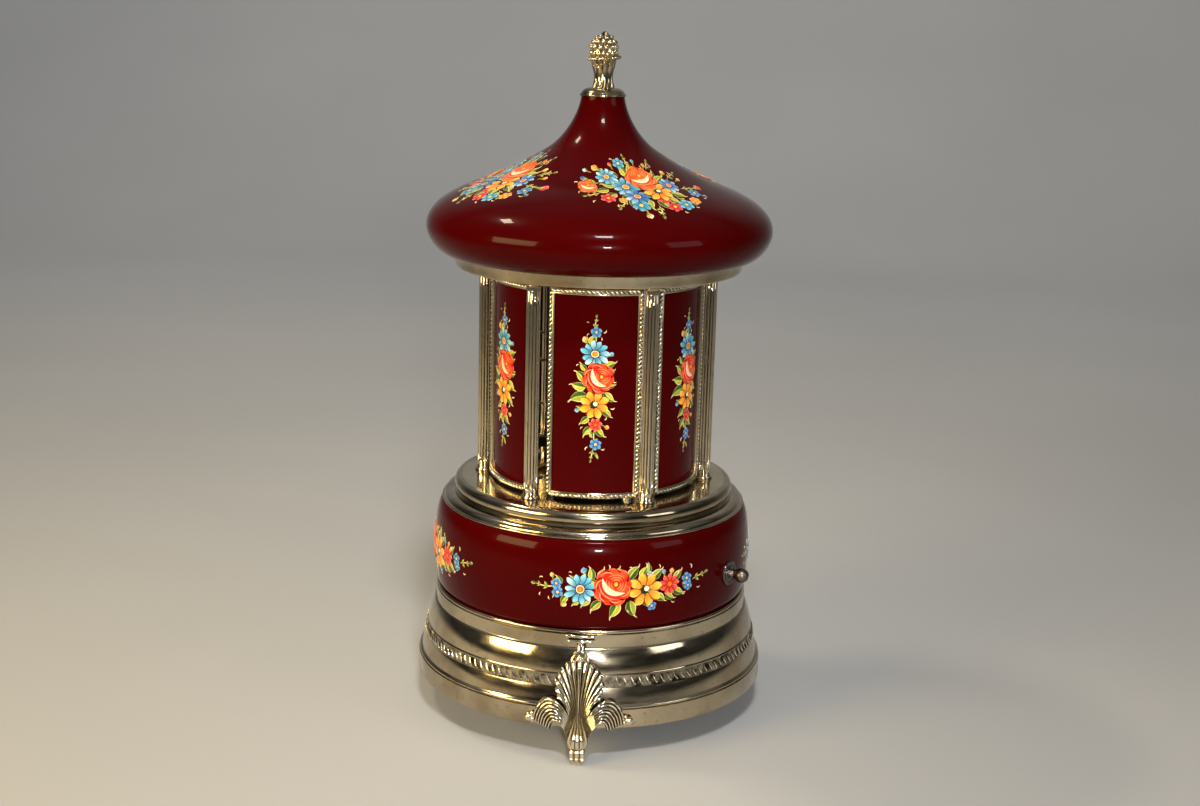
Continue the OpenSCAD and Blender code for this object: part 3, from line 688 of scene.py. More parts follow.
def foot_scrolls(solid, az):
    """The side scrolls: nested ribs that rise from the ankle, arch outwards and end by a ball."""
    for side in (-1, 1):
        def controls(s, ridge):
            q = (1 + side * s) / 2
            points = ((mix(1.8, 5.0, q), 12.6), (mix(2.6, 6.4, q), mix(30, 18, q)),
                      (mix(18.6, 11.6, q), mix(37, 23, q)), (mix(21.0, 12.6, q), mix(17.8, 14.4, q)))
            return tuple((side * x, z) for x, z in points)

        ribbed_sheet(solid, az, 7, controls,
                     lambda s, t: -0.05 - 0.25 * side * s + 0.7 * math.sin(math.pi * t), 1.1)
        axes = axes_at(az + math.degrees(side * 21.9 / SKIRT_R))
        solid.ball(foot_point(az, side * 22.6, 18.9, 0.4), (2.0, 2.0, 2.0), axes, 12, 20)
        solid.ball(foot_point(az, side * 21.2, 20.6, 0.8), (1.2, 1.1, 1.0), axes)
        solid.ball(foot_point(az, side * 20.8, 17.8, 0.8), (1.4, 1.1, 1.5), axes)


def foot_crown(solid, az):
    """The curled tip over the leaf, its stem and the small cross bar on the moulding."""
    axes = axes_at(az)
    solid.ball(foot_point(az, 0, 47.4, 1.2), (2.3, 2.3, 2.1), axes, 12, 20)
    hood = [(-4.0, 44.6), (-3.6, 47.2), (-2.3, 49.5), (0, 50.3), (2.3, 49.5), (3.6, 47.2), (4.0, 44.6)]
    path = [foot_point(az, x, z, 0.9) for x, z in hood]
    solid.tube(path, [0.45, 0.6, 0.65, 0.7, 0.65, 0.6, 0.45], outward(az), 12, 1.6, plain=True)
    rib(solid, az, ((0, 48.5), (0, 49.4), (0, 50.6), (0, 52.6)), (1.7, 1.9, 2.3), 1.3, 0.9, 8)
    bars = ((76.1, 53.4, 0.4, (6, 5, 3.4, 1.8, 0), (0.35, 0.8, 0.55, 0.9, 1.2)),
            (75.7, 55.6, 0.5, (7, 6, 4, 2, 0), (0.4, 0.9, 0.5, 0.6, 0.9)))
    for r, z, rise, half, radii in bars:
        across = [-x for x in half] + list(half[-2::-1])
        bar = [polar(r, az + math.degrees(x / 76), z + rise * abs(x) / half[0]) for x in across]
        solid.tube(bar, radii + radii[-2::-1], outward(az), 12, 1.2)


def foot_paw(solid, az):
    """The ribbed ankle, which narrows to three clawed toes."""
    mid = FOOT_R - 0.2
    ankle = [polar(mid, az, z) for z in (14.6, 12.6, 10.4, 8.2, 6.2, 4.0, 1.6, 0.5)]
    solid.tube(ankle, [2.2, 4.2, 4.5, 4.4, 3.8, 3.0, 2.5, 1.8], outward(az), 32, 0.85)
    tendon = ((0.75, 14.2, 0.8), (0.98, 12.0, 0.97), (1.06, 10.0, 1.0), (0.98, 8.2, 0.94), (0.7, 6.8, 0.8))
    for x in (-3.5, -1.8, 0, 1.8, 3.5):
        stand = 4.0 - 0.16 * x * x
        line = [polar(mid + stand * f, az, z) + sideways(az) * (x * w) for f, z, w in tendon]
        solid.tube(line, [0.5, 0.85, 0.95, 0.85, 0.5], outward(az), 12, 0.9)
    for x in (-2.35, 0, 2.35):
        reach = 3.2 - 0.1 * abs(x)
        toe = [polar(mid + reach + d, az, z) + sideways(az) * x
               for d, z in ((-1.2, 8.0), (0.0, 7.0), (0.75, 5.7), (0.75, 4.3), (0.35, 3.0), (0.2, 2.0))]
        solid.tube(toe, [0.5, 1.0, 1.25, 1.15, 0.95, 0.5], outward(az), 14, 1.0)
        claw = [polar(mid + reach + d, az, z) + sideways(az) * x
                for d, z in ((0.6, 4.0), (1.35, 3.0), (1.5, 1.7), (1.2, 0.3))]
        solid.tube(claw, [0.45, 0.72, 0.58, 0.22], outward(az), 12, 1.0, plain=True)


def feet():
    for i in range(FEET):
        az = i * FOOT_ANGLE
        solid = Solid()
        foot_leaf(solid, az)
        foot_scrolls(solid, az)
        foot_crown(solid, az)
        foot_paw(solid, az)
        solid.verts = [(x, y, max(z, 0.0)) for x, y, z in solid.verts]
        solid.piece(f"foot_casting_{i + 1}", ORNAMENT, "case", [f"foot_{i + 1}"], 60)


# ---- drum, gallery and roof ----

def drum_outline():
    return tidy(
        [(73, BASE_TOP_Z), (73.8, BASE_TOP_Z + 0.8)]
        + bezier((74.6, BASE_TOP_Z + 2.2), (DRUM_R + 0.4, 70), (DRUM_R + 0.6, 84), (74.6, 94.6), 28)
        + bezier((74.2, 96), (73.4, 98.4), (73, 99.2), (71.6, DRUM_TOP_Z), 8)
    )


def drum_radius(z):
    return lookup(sorted((p[1], p[0]) for p in drum_outline()), z)


def drum():
    outer = drum_outline()
    lip_r = 62
    inside = [(lip_r, DRUM_TOP_Z), (lip_r, DRUM_TOP_Z - WALL), (70.8, DRUM_TOP_Z - WALL)]
    inside += [(r - WALL, z) for r, z in outer[::-1] if BASE_TOP_Z + WALL + 1 < z < DRUM_TOP_Z - 3]
    inside += [(72, BASE_TOP_Z + WALL), (FLANGE_R, BASE_TOP_Z + WALL), (FLANGE_R, BASE_TOP_Z)]
    turned("drum_shell", outer + inside, LACQUER, "drum")


def gallery():
    seat_r, under = 57, DECK_Z - 2
    outline = tidy(
        [(FLANGE_R, DRUM_TOP_Z), (72, DRUM_TOP_Z)]
        + arc(72, DRUM_TOP_Z + 0.5, 0.5, -60, 60)
        + bezier((71.6, 101.2), (71.4, 103), (69, 104.2), (66.4, 104.1))
        + [(66.1, 104.6)]
        + bezier((66.3, 105.4), (67.2, 107.6), (66.4, DECK_Z - 0.2), (DECK_R + 0.3, DECK_Z))
        + [(DECK_R + 0.05, DECK_Z), (DECK_R + 0.05, under), (seat_r, under), (seat_r, under - WALL)]
        + [(64.6, under - WALL), (FLANGE_R, 103)]
    )
    turned("gallery_moulding", outline, SHELL, "gallery_ring")


def cornice():
    plate_r, ledge = 60.1, ROOF_Z + 1.5
    outline = tidy(
        [(plate_r, ROOF_Z), (65.6, ROOF_Z)]
        + arc(65.9, ROOF_Z + 1.2, 1.2, -85, 0)
        + [(67.4, ROOF_Z + 2.6), (67.6, SEAT_Z - 1), (68, SEAT_Z - 0.4), (68, SEAT_Z), (66, SEAT_Z),
           (65.8, ledge + 1.5), (58, ledge + 1.5), (58, ledge), (plate_r, ledge)]
    )
    turned("cornice_ring", outline, SHELL, "roof_ring")


def dome_outline():
    shoulder, middle, neck = (DOME_R, 230.8), (53, 252.3), (24.6, 267.2)
    return tidy(
        bezier((68.7, SEAT_Z), (74.5, 216.4), (DOME_R, 225), shoulder, 24)
        + bezier(shoulder, (DOME_R, 242.1), (64.1, 248.3), middle, 28)
        + bezier(middle, (44.2, 255.4), (30.5, 263.1), neck, 18)
        + bezier(neck, (17.3, 272.2), (11.1, 282.1), (10, DOME_TOP_Z), 24)
    )


def dome():
    outer = dome_outline()
    closed = shell(outer, DOME_WALL)
    inner = [p for p in closed[len(outer):] if SEAT_Z + 1.2 < p[1] < DOME_TOP_Z - 1.4]
    hole = 2.5
    outline = outer + [(hole, DOME_TOP_Z), (hole, DOME_TOP_Z - 1.2)] + inner + [(67, SEAT_Z)]
    turned("onion_roof", outline, LACQUER, "roof_dome")


# ---- columns ----

def column_outline():
    end = 4.9
    foot = ([(SCREW_HOLE_R, 0), (4.1, 0)] + arc(3.75, 0.6, 0.6, -60, 60, 6) + [(3.3, 1.25), (3.2, 1.5)]
            + arc(3.1, 2.1, 0.5, -70, 70, 6)
            + [(3.15, 2.65), (3.5, 2.9), (3.5, 4.5), (3.15, 4.75), (COLUMN_R, end)])
    shaft = [(COLUMN_R, end + (COLUMN_H - 2 * end) * i / 12) for i in range(1, 12)]
    head = [(r, COLUMN_H - z) for r, z in foot[::-1]]
    return foot + shaft + head


def columns():
    """Fluted shafts between a plain banded foot and head."""
    flutes, groove, plain = 12, 0.7, 4.85

    def flute(r, z, a):
        if z < plain or z > COLUMN_H - plain:
            return r
        return r - groove * (1 - abs(math.sin(flutes * a / 2)) ** 0.6)

    for i in range(BAYS):
        solid = Solid()
        place = turn(BAY_ANGLE / 2 + i * BAY_ANGLE) @ Matrix.Translation((0, -COLUMN_PCR, DECK_Z))
        solid.lathe(column_outline(), 144, place, flute)
        axis = place.translation
        # Painted light on the ridges and painted shade in the flutes, darkest at their bottoms.
        solid.crest_light = [min(1.0, max(0.0, 1 - (COLUMN_R - math.dist((v[0], v[1]), (axis.x, axis.y))) / groove))
                       for v in solid.verts]
        solid.piece(f"fluted_column_{i + 1}", COLUMN_METAL, "case", [f"column_{i + 1}"], 50)


# ---- doors ----

def frame_point(door_az, inset, side, t, r):
    """A point of the door's edge: inset from the outer edge, on side 0 to 3, at share t along it."""
    turn_in = math.degrees(inset / DOOR_R)
    az0, az1 = DOOR_FROM + turn_in, DOOR_TO - turn_in
    z0, z1 = DOOR_Z0 + inset, DOOR_Z1 - inset
    corners = [(az0, z0), (az1, z0), (az1, z1), (az0, z1), (az0, z0)]
    az, z = mix(corners[side], corners[side + 1], t)
    return polar(r, door_az + az, z)


def door_frame(k):
    """The plated frame: a flat flange for the rope, a groove, and a bright round lip inside."""
    door_az = (k - 1) * BAY_ANGLE
    base_r = PANEL_R + 0.05
    lip_at, lip_r = 2.2, 0.62
    section = ([(0, 0), (0, 0.3), (0.15, 0.4), (1.55, 0.4)]
               + [(lip_at - lip_r * cosd(a), 0.42 + lip_r * sind(a)) for a in range(0, 181, 30)]
               + [(TRIM_W - 0.02, 0.25), (TRIM_W, 0)])
    steps = (30, 4, 30, 4)
    verts = []
    for side in range(4):
        for i in range(steps[side]):
            for inset, rise in section:
                verts.append(frame_point(door_az, inset, side, i / steps[side], base_r + rise))
    faces = skin(sum(steps), len(section), closed=True, flip=True)
    make_piece(f"door_frame_{k}", verts, faces, TRIM, f"door_{k}", [f"door_trim_{k}"])


def door_rope(k):
    """A two-strand rope round the outer edge of a door's frame."""
    door_az = (k - 1) * BAY_ANGLE
    inset, corner, spacing = 1.08, 1.3, 0.35
    rope_r, sunk, lay_length = 1.06, 0.62, 4.1
    half_w = math.radians(DOOR_TO - DOOR_FROM) * DOOR_R / 2 - inset
    half_h = (DOOR_Z1 - DOOR_Z0) / 2 - inset
    mid_az = (DOOR_FROM + DOOR_TO) / 2
    mid_z = (DOOR_Z0 + DOOR_Z1) / 2
    line = []
    for q, (sx, sz) in enumerate(((1, -1), (1, 1), (-1, 1), (-1, -1))):
        cx, cz = sx * (half_w - corner), sz * (half_h - corner)
        line += arc(cx, cz, corner, -90 + 90 * q, 90 * q, 5)
        nx, nz = ((half_w, half_h - corner), (-half_w + corner, half_h), (-half_w, -half_h + corner),
                  (half_w - corner, -half_h))[q]
        x0, z0 = line[-1]
        steps = int(math.dist((x0, z0), (nx, nz)) / spacing)
        line += [mix((x0, z0), (nx, nz), i / steps) for i in range(1, steps)]
    path = [polar(DOOR_R - sunk, door_az + mid_az + math.degrees(x / DOOR_R), mid_z + z) for x, z in line]
    lengths = [0.0]
    for a, b in zip(path, path[1:]):
        lengths.append(lengths[-1] + (b - a).length)
    whole = lengths[-1] + (path[0] - path[-1]).length
    turns = round(whole / lay_length)

    # The strands' tops get painted light and the gaps between them painted shade.
    def strands(i, a):
        lay = math.pi * 2 * turns * lengths[i] / whole
        return 0.42 + 0.58 * abs(math.cos(a - lay)) ** 1.2

    solid = Solid()
    solid.tube(path, [rope_r] * len(path), lambda i: Vector((path[i].x, path[i].y, 0)), 16, closed=True,
               twist=strands)
    solid.piece(f"door_rope_{k}", ROPE, f"door_{k}", sharp=60)


def door_sheet(k):
    """The lacquered door sheet with softened edges."""
    door_az = (k - 1) * BAY_ANGLE
    margin = 0.5
    az0, az1 = door_az + DOOR_FROM + margin, door_az + DOOR_TO - margin
    z0, z1 = DOOR_Z0 + margin, DOOR_Z1 - margin
    soft = 0.25
    inner_r = PANEL_R - PANEL_T
    section = [(inner_r, z0 + soft), (inner_r + soft, z0), (PANEL_R - soft, z0), (PANEL_R, z0 + soft)]
    section += [(PANEL_R, mix(z0, z1, t)) for t in (0.25, 0.5, 0.75)]
    section += [(PANEL_R, z1 - soft), (PANEL_R - soft, z1), (inner_r + soft, z1), (inner_r, z1 - soft)]
    section += [(inner_r, mix(z1, z0, t)) for t in (0.25, 0.5, 0.75)]
    slices = 64
    verts = [polar(r, mix(az0, az1, i / slices), z) for i in range(slices + 1) for r, z in section]
    faces = skin(slices + 1, len(section))
    make_piece(f"door_sheet_{k}", verts, faces, LACQUER, f"door_{k}", [f"door_panel_{k}"])


# ---- painted flowers ----

CREAM = (0.90, 0.70, 0.38)
LEAF_DARK = (0.020, 0.080, 0.008)
LEAF_MID = (0.10, 0.20, 0.010)
LEAF_LIGHT = (0.46, 0.47, 0.030)
RED = (0.80, 0.014, 0.003)
DEEP_RED = (0.45, 0.004, 0.002)
CORAL = (0.90, 0.10, 0.012)
ORANGE = (0.80, 0.16, 0.004)
GOLD = (0.95, 0.38, 0.012)
YELLOW = (0.95, 0.62, 0.080)
RUST = (0.30, 0.045, 0.002)
SKY = (0.10, 0.48, 0.64)
TEAL = (0.008, 0.15, 0.27)
BLUE = (0.010, 0.085, 0.36)
PALE_BLUE = (0.55, 0.80, 0.84)
NAVY = (0.006, 0.016, 0.06)
BLACK = (0.008, 0.008, 0.010)
# Painted shade on the sunk edges of every stroke, darker than the lacquer.
EDGE_SHADE = (0.020, 0.002, 0.002)
STALK = mix(LEAF_LIGHT, CREAM, 0.4)
MID_BLUE = mix(BLUE, SKY, 0.5)
CORNFLOWER = mix(BLUE, SKY, 0.6)
SOFT_TEAL = mix(TEAL, SKY, 0.5)
MID_TEAL = mix(TEAL, SKY, 0.6)
LIGHT_TEAL = mix(TEAL, SKY, 0.7)

# Each stroke lies a layer above the one before, and a wide one higher. Its edges go down into the lacquer,
# coloured darker than it as painted shade round the stroke.
LAYER = 0.0025
LAYER_PER_WIDTH = 0.00012
SUNK = -0.06


def full(t):
    """A brush stroke's width along it: round at both ends, widest past the middle."""
    return math.sin(math.pi * t ** 1.5) ** 0.6 if 0 < t < 1 else 0.0


def pointed(t):
    """Widest near its start, with a sharp end."""
    return math.sin(math.pi * t ** 0.75) ** 0.9 if 0 < t < 1 else 0.0


def slim(t):
    """Even, with two sharp ends."""
    return math.sin(math.pi * t) ** 0.7 if 0 < t < 1 else 0.0


class Spray:
    """Brush strokes of enamel, drawn flat in millimetres and laid on a curved surface in thin layers."""

    def __init__(self, seed):
        self.points = []
        self.faces = []
        self.colours = []
        self.level = 0.0
        self.count = 0
        self.draw = random.Random(seed)

    def start(self, base, step=0.0, turns=1):
        """Sets the height of the next flower or leaf, which differs from its neighbours'."""
        self.count += 1
        self.level = base + step * (self.count % turns)

    def stroke(self, line, width, profile, colour, sections=9, across=(-1, -0.8, -0.35, 0, 0.35, 0.8, 1)):
        """A stroke along a line of three (u, v) points. colour(t, s) is the paint at t along and s across."""
        self.level += LAYER + LAYER_PER_WIDTH * width * width
        centre = bend(*line, sections - 1)
        sides = (1, -1)
        self.faces += shifted(skin(sections, len(across) + len(sides)), len(self.points))
        for i, (u, v) in enumerate(centre):
            t = i / (sections - 1)
            a = centre[max(i - 1, 0)]
            b = centre[min(i + 1, sections - 1)]
            length = max(math.dist(a, b), 1e-6)
            nu, nv = -(b[1] - a[1]) / length, (b[0] - a[0]) / length
            w = width / 2 * max(profile(t), 0.04)
            for s in across:
                height = self.level + 0.002 * (1 - s * s)
                self.points.append((u + nu * w * s, v + nv * w * s, height))
                self.colours.append(colour(t, s))
            for s in sides:
                # The sunk edges get painted shade.
                self.points.append((u + nu * w * s, v + nv * w * s, SUNK))
                self.colours.append(EDGE_SHADE)

    def line(self, a, b, c, width, colour, profile=slim):
        """A thin plain stroke."""
        self.stroke((a, b, c), width, profile, lambda t, s: colour, 7, (-1, 0, 1))

    def petal(self, cx, cy, angle, r0, r1, width, root, tip, edge=None, profile=full, sway=0.0, shade=None):
        """A petal from radius r0 to r1 at an angle, with one dark side and a light rim on the other."""
        c, s = cosd(angle), sind(angle)
        p0, p2 = (cx + r0 * c, cy + r0 * s), (cx + r1 * c, cy + r1 * s)
        mid = (r0 + r1) / 2
        p1 = (cx + mid * c - sway * s, cy + mid * s + sway * c)
        rim = edge or mix(tip, (1, 1, 1), 0.4)
        dark = shade or mix(root, (0, 0, 0), 0.45)

        def colour(t, across):
            if t > 0.93 or across > 0.9:
                return rim
            if across < -0.7:
                return dark
            inside = mix(root, tip, min(1.0, max(0.0, t * 1.5 - 0.25)))
            return mix(inside, rim, 0.35 * t * max(0.0, 1 - abs(across - 0.3) * 1.6))

        self.stroke((p0, p1, p2), width, profile, colour, 10, (-1, -0.74, -0.6, 0, 0.45, 0.82, 0.92, 1))

    def green(self, cx, cy, angle, r0, r1, width):
        """A small plain leaf."""
        self.petal(cx, cy, angle, r0, r1, width, LEAF_MID, LEAF_LIGHT, CREAM, pointed)

    def disc(self, cx, cy, r, inner, outer, squash=1.0):
        """A small round dot, drawn as one wide stroke."""
        def colour(t, s):
            if abs(s) > 0.9 or t < 0.08 or t > 0.92:
                return outer
            return mix(inner, outer, min(1, abs(2 * t - 1) + 0.3 * abs(s)))

        self.stroke(((cx - r, cy), (cx, cy), (cx + r, cy)), 2 * r * squash,
                    lambda t: math.sqrt(max(0.0, 1 - (2 * t - 1) ** 2)), colour, 11)

    def daisy(self, cx, cy, r, petals, root, tip, heart=ORANGE, phase=0.0, squash=1.0):
        """A flower of loose petals round a dotted heart."""
        self.start(0.13, 0.07, 2)
        for i in range(petals):
            angle = phase + 360 * i / petals + self.draw.uniform(-4, 4)
            reach = r * self.draw.uniform(0.88, 1.08) * (1 - (1 - squash) * abs(sind(angle)))
            light = self.draw.choice((0.0, 0.15, 0.45, 0.75))
            self.petal(cx, cy, angle, 0.2 * r, reach, 4.3 * r / petals, root, mix(tip, PALE_BLUE, light),
                       mix(tip, (0.9, 1, 1), 0.45 + light * 0.5), sway=self.draw.uniform(-0.05, 0.05) * r)
        self.disc(cx, cy, 0.31 * r, mix(NAVY, heart, 0.15), NAVY, squash)
        self.disc(cx, cy, 0.26 * r, CREAM, CREAM, squash)
        self.disc(cx, cy, 0.20 * r, mix(heart, YELLOW, 0.3), heart, squash)

    def marigold(self, cx, cy, r, phase=20.0):
        """The large orange flower with a black and cream heart."""
        self.start(0.25)
        for i in range(8):
            angle = phase + 45 * i + self.draw.uniform(-3, 3)
            warm = self.draw.uniform(0, 1)
            self.petal(cx, cy, angle, 0.16 * r, r * self.draw.uniform(0.93, 1.05), 0.54 * r,
                       mix(ORANGE, GOLD, warm * 0.4), mix(GOLD, YELLOW, 0.6 * warm), mix(YELLOW, CREAM, 0.4),
                       sway=self.draw.uniform(-0.04, 0.04) * r, shade=RUST)
        self.disc(cx - 0.04 * r, cy, 0.25 * r, BLACK, mix(BLACK, LEAF_DARK, 0.6))
        self.disc(cx + 0.07 * r, cy + 0.07 * r, 0.15 * r, CREAM, mix(CREAM, (1, 1, 1), 0.4))
        for i in range(7):
            a = math.radians(51 * i + 10)
            self.disc(cx + 0.28 * r * math.cos(a), cy + 0.28 * r * math.sin(a), 0.035 * r, BLACK, BLACK)

    def rose(self, cx, cy, r, lean=0.0, warm=0.0):
        """A full rose: scalloped outer petals, a cream crescent and a swirl round a golden eye."""
        self.start(0.30)
        red, deep, light = mix(RED, CORAL, warm), mix(DEEP_RED, ORANGE, warm * 0.5), mix(CORAL, ORANGE, warm)
        for i in range(9):
            angle = lean + 40 * i
            self.petal(cx, cy, angle, 0.1 * r, r * (0.93 + 0.07 * (i % 2)), 0.80 * r, deep,
                       mix(red, light, 0.35 * (i % 3) / 2), mix(light, CREAM, 0.08 + 0.22 * (i % 2)))
        self.disc(cx, cy, 0.70 * r, red, red)
        for i in range(5):
            a = math.radians(lean + 100 + 55 * i)
            tip = (cx + 0.80 * r * math.cos(a + 0.5), cy + 0.80 * r * math.sin(a + 0.5))
            base = (cx + 0.60 * r * math.cos(a - 0.45), cy + 0.60 * r * math.sin(a - 0.45))
            bulge = (cx + 0.95 * r * math.cos(a), cy + 0.95 * r * math.sin(a))
            self.line(base, bulge, tip, 0.05 * r, mix(CREAM, CORAL, 0.6))

        def spot(x, y):
            c, s = cosd(lean), sind(lean)
            return cx + r * (x * c - y * s), cy + r * (x * s + y * c)

        def ribbon(a, b, c, width, near, far):
            self.stroke((spot(*a), spot(*b), spot(*c)), width * r, slim,
                        lambda t, s: mix(near, far, (s + 1) / 2))

        eye = (0.16, 0.12)
        for reach, width in ((0.50, 0.26), (0.36, 0.2), (0.24, 0.16)):
            for start in (20, 140, 260):
                pts = [(eye[0] + reach * cosd(start + d) * (1.25 if d == 55 else 1),
                        eye[1] + reach * sind(start + d) * (1.25 if d == 55 else 1)) for d in (0, 55, 110)]
                ribbon(*pts, width, light, deep if reach > 0.3 else red)
                ribbon(*pts, 0.03, mix(CREAM, CORAL, 0.45), mix(CREAM, CORAL, 0.7))
        ribbon((-0.42, 0.52), (-0.42, -0.42), (0.52, -0.40), 0.30, mix(CREAM, (1, 1, 1), 0.25),
               mix(CREAM, CORAL, 0.25))
        ribbon((-0.62, 0.30), (-0.66, -0.52), (0.20, -0.66), 0.07, mix(CREAM, CORAL, 0.4), CORAL)
        self.disc(*spot(*eye), 0.10 * r, YELLOW, GOLD)

    def leaf(self, u, v, length, angle, light):
        """A leaf with one dark side, one light side, a vein and a cream edge, rooted at (u, v)."""
        self.start(0.012, 0.012, 3)
        a = math.radians(angle)
        c, s = math.cos(a), math.sin(a)
        length *= 1.12
        sway = 0.14 * length * (1 if (u + v) % 2 < 1 else -1)
        tip = (u + length * c, v + length * s)
        mid = (u + 0.5 * length * c - sway * s, v + 0.5 * length * s + sway * c)
        light_side = mix(LEAF_MID, LEAF_LIGHT, light)

        def colour(t, across):
            if across >= 0.9 or across < -0.95:
                return CREAM
            if across > -0.1:
                return mix(light_side, LEAF_LIGHT, 0.5 * t)
            return mix(LEAF_DARK, LEAF_MID, t * light)

        self.stroke(((u, v), mid, tip), 0.60 * length, pointed, colour, 11,
                    (-1, -0.9, -0.15, -0.05, 0.4, 0.80, 0.90, 1))
        self.line((u, v), mid, mix(mid, tip, 0.75), 0.07 * length, mix(LEAF_LIGHT, CREAM, 0.35))
        hook = (tip[0] + 0.2 * length * math.cos(a + 0.7), tip[1] + 0.2 * length * math.sin(a + 0.7))
        self.line(mix(mid, tip, 0.7), tip, hook, 0.06 * length, CREAM)

    def bud(self, u, v, size, angle, low, high):
        """A closed bud of three petals in a green cup, with its stalk below."""
        self.start(0.07, 0.02, 2)
        a = math.radians(angle)
        back = (u - 1.5 * size * math.cos(a), v - 1.5 * size * math.sin(a))
        self.line(back, (u - size * math.cos(a - 0.3), v - size * math.sin(a - 0.3)), (u, v), 0.22 * size,
                  mix(LEAF_MID, LEAF_LIGHT, 0.6))
        for swing in (-26, 26, 0):
            reach = size * (1.1 if swing == 0 else 0.95)
            self.petal(u, v, angle + swing, -0.3 * size, reach, 0.85 * size, low, high)
        for swing in (-38, 38):
            self.green(u, v, angle + swing, -0.45 * size, 0.5 * size, 0.42 * size)

    def floret(self, u, v, r, low, high, petals=5, phase=18.0, heart=YELLOW):
        """A small five-petalled flower."""
        self.start(0.07, 0.03, 2)
        for i in range(petals):
            self.petal(u, v, phase + 360 * i / petals, 0.1 * r, r, 1.05 * r * 5 / petals * 0.85, low, high)
        self.disc(u, v, 0.22 * r, heart, heart)

    def sprig(self, u, v, length, angle):
        """A thin stalk with two pairs of small leaves and a bud-like end."""
        self.start(0.05, 0.01, 2)
        c, s = cosd(angle), sind(angle)
        tip = (u + length * c, v + length * s)
        middle = (u + 0.5 * length * c - 0.08 * length * s, v + 0.5 * length * s + 0.08 * length * c)
        self.line((u, v), middle, tip, 0.5, mix(LEAF_LIGHT, CREAM, 0.5))
        for i in range(2):
            x, y = mix((u, v), tip, 0.25 + 0.45 * i)
            for side in (-1, 1):
                size = length * 0.30 * (1 - 0.3 * i)
                self.green(x, y, angle + side * 48, 0, size, size * 0.55)
        self.petal(*tip, angle + 8, -0.1 * length, 0.26 * length, 0.2 * length, LEAF_DARK, LEAF_MID, CREAM)

    def curl(self, u, v, size, angle):
        """A cream comma."""
        self.start(0.11)
        a = math.radians(angle)
        p1 = (u + size * math.cos(a), v + size * math.sin(a))
        p2 = (u + size * 1.1 * math.cos(a + 0.75), v + size * 1.1 * math.sin(a + 0.75))
        self.line((u, v), p1, p2, 0.26 * size, CREAM, pointed)

    def lay(self, name, place, body):
        """Puts the spray on a surface: place(u, v, height) is the point."""
        verts = [place(*p) for p in self.points]
        make_piece(name, verts, self.faces, PAINT, body, sharp=80, attributes={"paint": self.colours})


def each(draw, rows, *more):
    """Draws once for each row of a table."""
    for row in rows:
        draw(*row, *more)


def door_spray():
    """The upright bouquet of a door: its middle is (0, 0)."""
    p = Spray(3)
    each(p.sprig, ((-0.6, 27.5, 5.4, 82), (-0.4, -27.5, 5.2, -100)))
    p.green(0.6, -29.2, -62, 0, 3.4, 1.3)
    p.line((0, 27), (0.3, 24), (-0.2, 20), 0.5, STALK)
    p.line((0.2, -19), (-0.3, -22), (0.4, -25), 0.5, STALK)
    each(p.leaf, (
        (-2.6, 20.6, 4.4, 62, 0.9), (4.0, 10.0, 5.2, 24, 0.8), (6.0, 6.6, 3.6, 40, 0.9),
        (-4.0, 8.8, 3.8, 128, 0.7), (-4.6, 3.6, 5.6, 132, 0.5), (-4.2, 1.0, 6.0, 168, 0.95),
        (-3.4, -3.0, 7.4, 196, 0.35), (4.4, -1.2, 5.6, -42, 0.9), (3.4, -9.4, 4.8, -40, 0.6),
        (-2.6, -12.6, 4.6, 218, 0.6), (-1.2, -17.6, 4.8, 228, 0.8), (1.2, -17.8, 4.8, -48, 0.7),
        (6.0, 1.6, 3.0, 12, 0.8), (-4.8, -9.0, 3.0, 160, 0.8), (-0.6, -22.4, 3.0, 118, 0.9),
    ))
    p.floret(0.1, 26.3, 2.6, BLUE, CORNFLOWER)
    each(p.bud, (
        (-4.3, 22.0, 2.3, 118, ORANGE, YELLOW), (6.6, 15.8, 1.7, 38, BLUE, SKY),
        (-7.2, -9.6, 1.7, 190, BLUE, SKY), (5.2, -17.2, 1.6, -20, ORANGE, GOLD),
    ))
    each(p.floret, (
        (0.9, -25.4, 2.8, BLUE, MID_BLUE, 6),
        (0.6, -16.3, 3.2, DEEP_RED, mix(RED, CORAL, 0.5), 7, 10, ORANGE),
    ))
    p.daisy(-0.3, 16.4, 6.9, 11, TEAL, SKY, squash=0.88)
    p.marigold(-0.1, -7.0, 6.8)
    p.rose(1.5, 5.3, 7.7, lean=-8)
    each(p.curl, (
        (3.2, 26.0, 1.8, 10), (-3.0, 25.6, 1.4, 190), (-2.6, -26.6, 1.8, 200), (3.4, -27.6, 1.6, -30),
        (8.0, 3.8, 1.5, -40), (-8.2, 0.4, 1.2, 120), (7.2, -8.6, 1.8, -30), (-5.0, -17.4, 1.4, 190),
        (-3.2, 30.4, 1.2, 130), (2.4, 22.4, 1.5, 60), (-7.4, 11.4, 1.3, 180), (4.6, -14.0, 1.5, 20),
    ))
    return p


